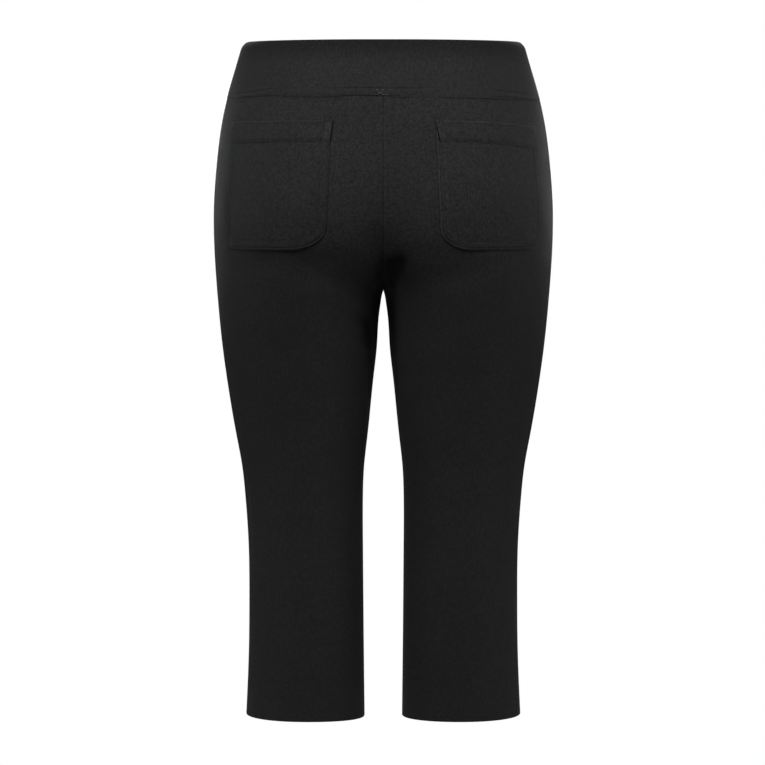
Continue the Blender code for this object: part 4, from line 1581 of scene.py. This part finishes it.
# name, place, aim, width, height, watts, spread in degrees
LIGHTS = (
    ("hips_back", (0.0, 0.9, 0.75), (0.0, 0.1, -0.1), 0.9, 0.4, 26.0, 180),
    ("hips_front", (0.0, -0.9, 0.75), (0.0, -0.1, -0.1), 0.9, 0.4, 26.0, 180),
    ("side_left", (2.2, 0.0, -0.1), (0.0, 0.0, -0.35), 0.8, 1.2, 14.0, 180),
    ("side_right", (-2.2, 0.0, -0.1), (0.0, 0.0, -0.35), 0.8, 1.2, 13.0, 180),
    ("low_left", (1.4, 1.8, -0.4), (0.0, 0.0, -0.5), 0.8, 0.8, 12.0, 180),
    ("low_right", (-2.0, 0.7, -0.5), (0.0, 0.0, -0.5), 0.8, 1.2, 10.0, 180),
    ("rim_left", (1.5, -0.6, -0.05), (0.2, 0.0, -0.17), 0.12, 0.12, 0.07, 14),
    ("rim_right", (-1.5, -0.6, -0.05), (-0.2, 0.0, -0.16), 0.12, 0.12, 0.08, 14),
    ("back_rim_left", (0.95, -1.4, -0.05), (0.2, 0.0, -0.16), 0.12, 0.12, 0.04, 13),
    ("back_rim_right", (-0.95, -1.4, -0.05), (-0.2, 0.0, -0.16), 0.12, 0.12, 0.04, 13),
)
ROOM_LIGHT = 0.015
BACKDROP_LIGHT = 1.0


def add_light(name, place, aim, width, height, watts, spread):
    """A soft rectangular light."""
    data = bpy.data.lights.new(name, "AREA")
    data.shape = "RECTANGLE"
    data.size = width
    data.size_y = height
    data.energy = watts
    data.spread = math.radians(spread)
    light = new_object(name, data)
    light.location = place
    light.rotation_euler = looking(Vector(aim) - Vector(place))
    light.visible_camera = False


def add_world():
    """A white backdrop all round, which lights the room only a little."""
    world = bpy.data.worlds.new("studio")
    world.use_nodes = True
    tree = world.node_tree
    room = tree.nodes["Background"]
    room.inputs["Color"].default_value = (1.0, 1.0, 1.0, 1.0)
    room.inputs["Strength"].default_value = ROOM_LIGHT
    backdrop = tree.nodes.new("ShaderNodeBackground")
    backdrop.inputs["Strength"].default_value = BACKDROP_LIGHT
    backdrop.inputs["Color"].default_value = (1.0, 1.0, 1.0, 1.0)
    seen = tree.nodes.new("ShaderNodeLightPath")
    mix = tree.nodes.new("ShaderNodeMixShader")
    tree.links.new(seen.outputs["Is Camera Ray"], mix.inputs[0])
    tree.links.new(room.outputs[0], mix.inputs[1])
    tree.links.new(backdrop.outputs[0], mix.inputs[2])
    tree.links.new(mix.outputs[0], tree.nodes["World Output"].inputs["Surface"])
    bpy.context.scene.world = world


FLOOR_CORNERS = 96


def add_floor():
    """A plain round floor, below the hems as it would be if the pants were worn."""
    turn = np.linspace(0, 2 * np.pi, FLOOR_CORNERS, endpoint=False)
    rim = [(FLOOR_RADIUS * math.cos(t), FLOOR_RADIUS * math.sin(t), FLOOR_HEIGHT) for t in turn]
    mesh = bpy.data.meshes.new("floor")
    mesh.from_pydata(rim, [], [tuple(range(FLOOR_CORNERS))])
    mesh.materials.append(floor_material())
    new_object("floor", mesh)


def main():
    twill = twill_material()
    thread = thread_material("sewing_thread", THREAD_COLOUR, 0.12)
    tack_thread = thread_material("tack_thread", TACK_COLOUR, 0.3)
    for front, face in ((False, "back"), (True, "front")):
        band = "waistband_" + face
        add_wall(band + "_cloth", waistband(front, face), False, twill, band)
        for side in ("left", "right"):
            node = face + "_" + side
            add_wall(
                node + "_cloth", panel(front, node), side == "right", twill, node)
    for side in POCKETS:
        mirrored = side == "right"
        for node, points in (("pocket_" + side, pocket_body(side)),
                             ("pocket_band_" + side, pocket_band(side))):
            add_wall(node + "_cloth", points, mirrored, twill, node)
        add_stitching(
            "pocket_stitching_" + side, pocket_lines(side), mirrored, thread)
        add_stitching("hem_stitching_" + side, hem_lines(), mirrored, thread)
    for piece, name, strips in (
            ("centre_seam", "centre_seam_allowance", centre_allowance()),
            ("outseams", "outseam_allowances", leg_allowance(True)),
            ("inseams", "inseam_allowances", leg_allowance(False)),
            ("waist_seam", "waist_seam_allowance", waist_allowance())):
        add_mesh(name, *joined(strips), twill, turned_out=True)
    add_stitching("centre_back_tack", tack_lines(), False, tack_thread)


main()
add_camera()
add_world()
for light in LIGHTS:
    add_light(*light)
add_floor()
bpy.context.scene.view_settings.view_transform = "Standard"
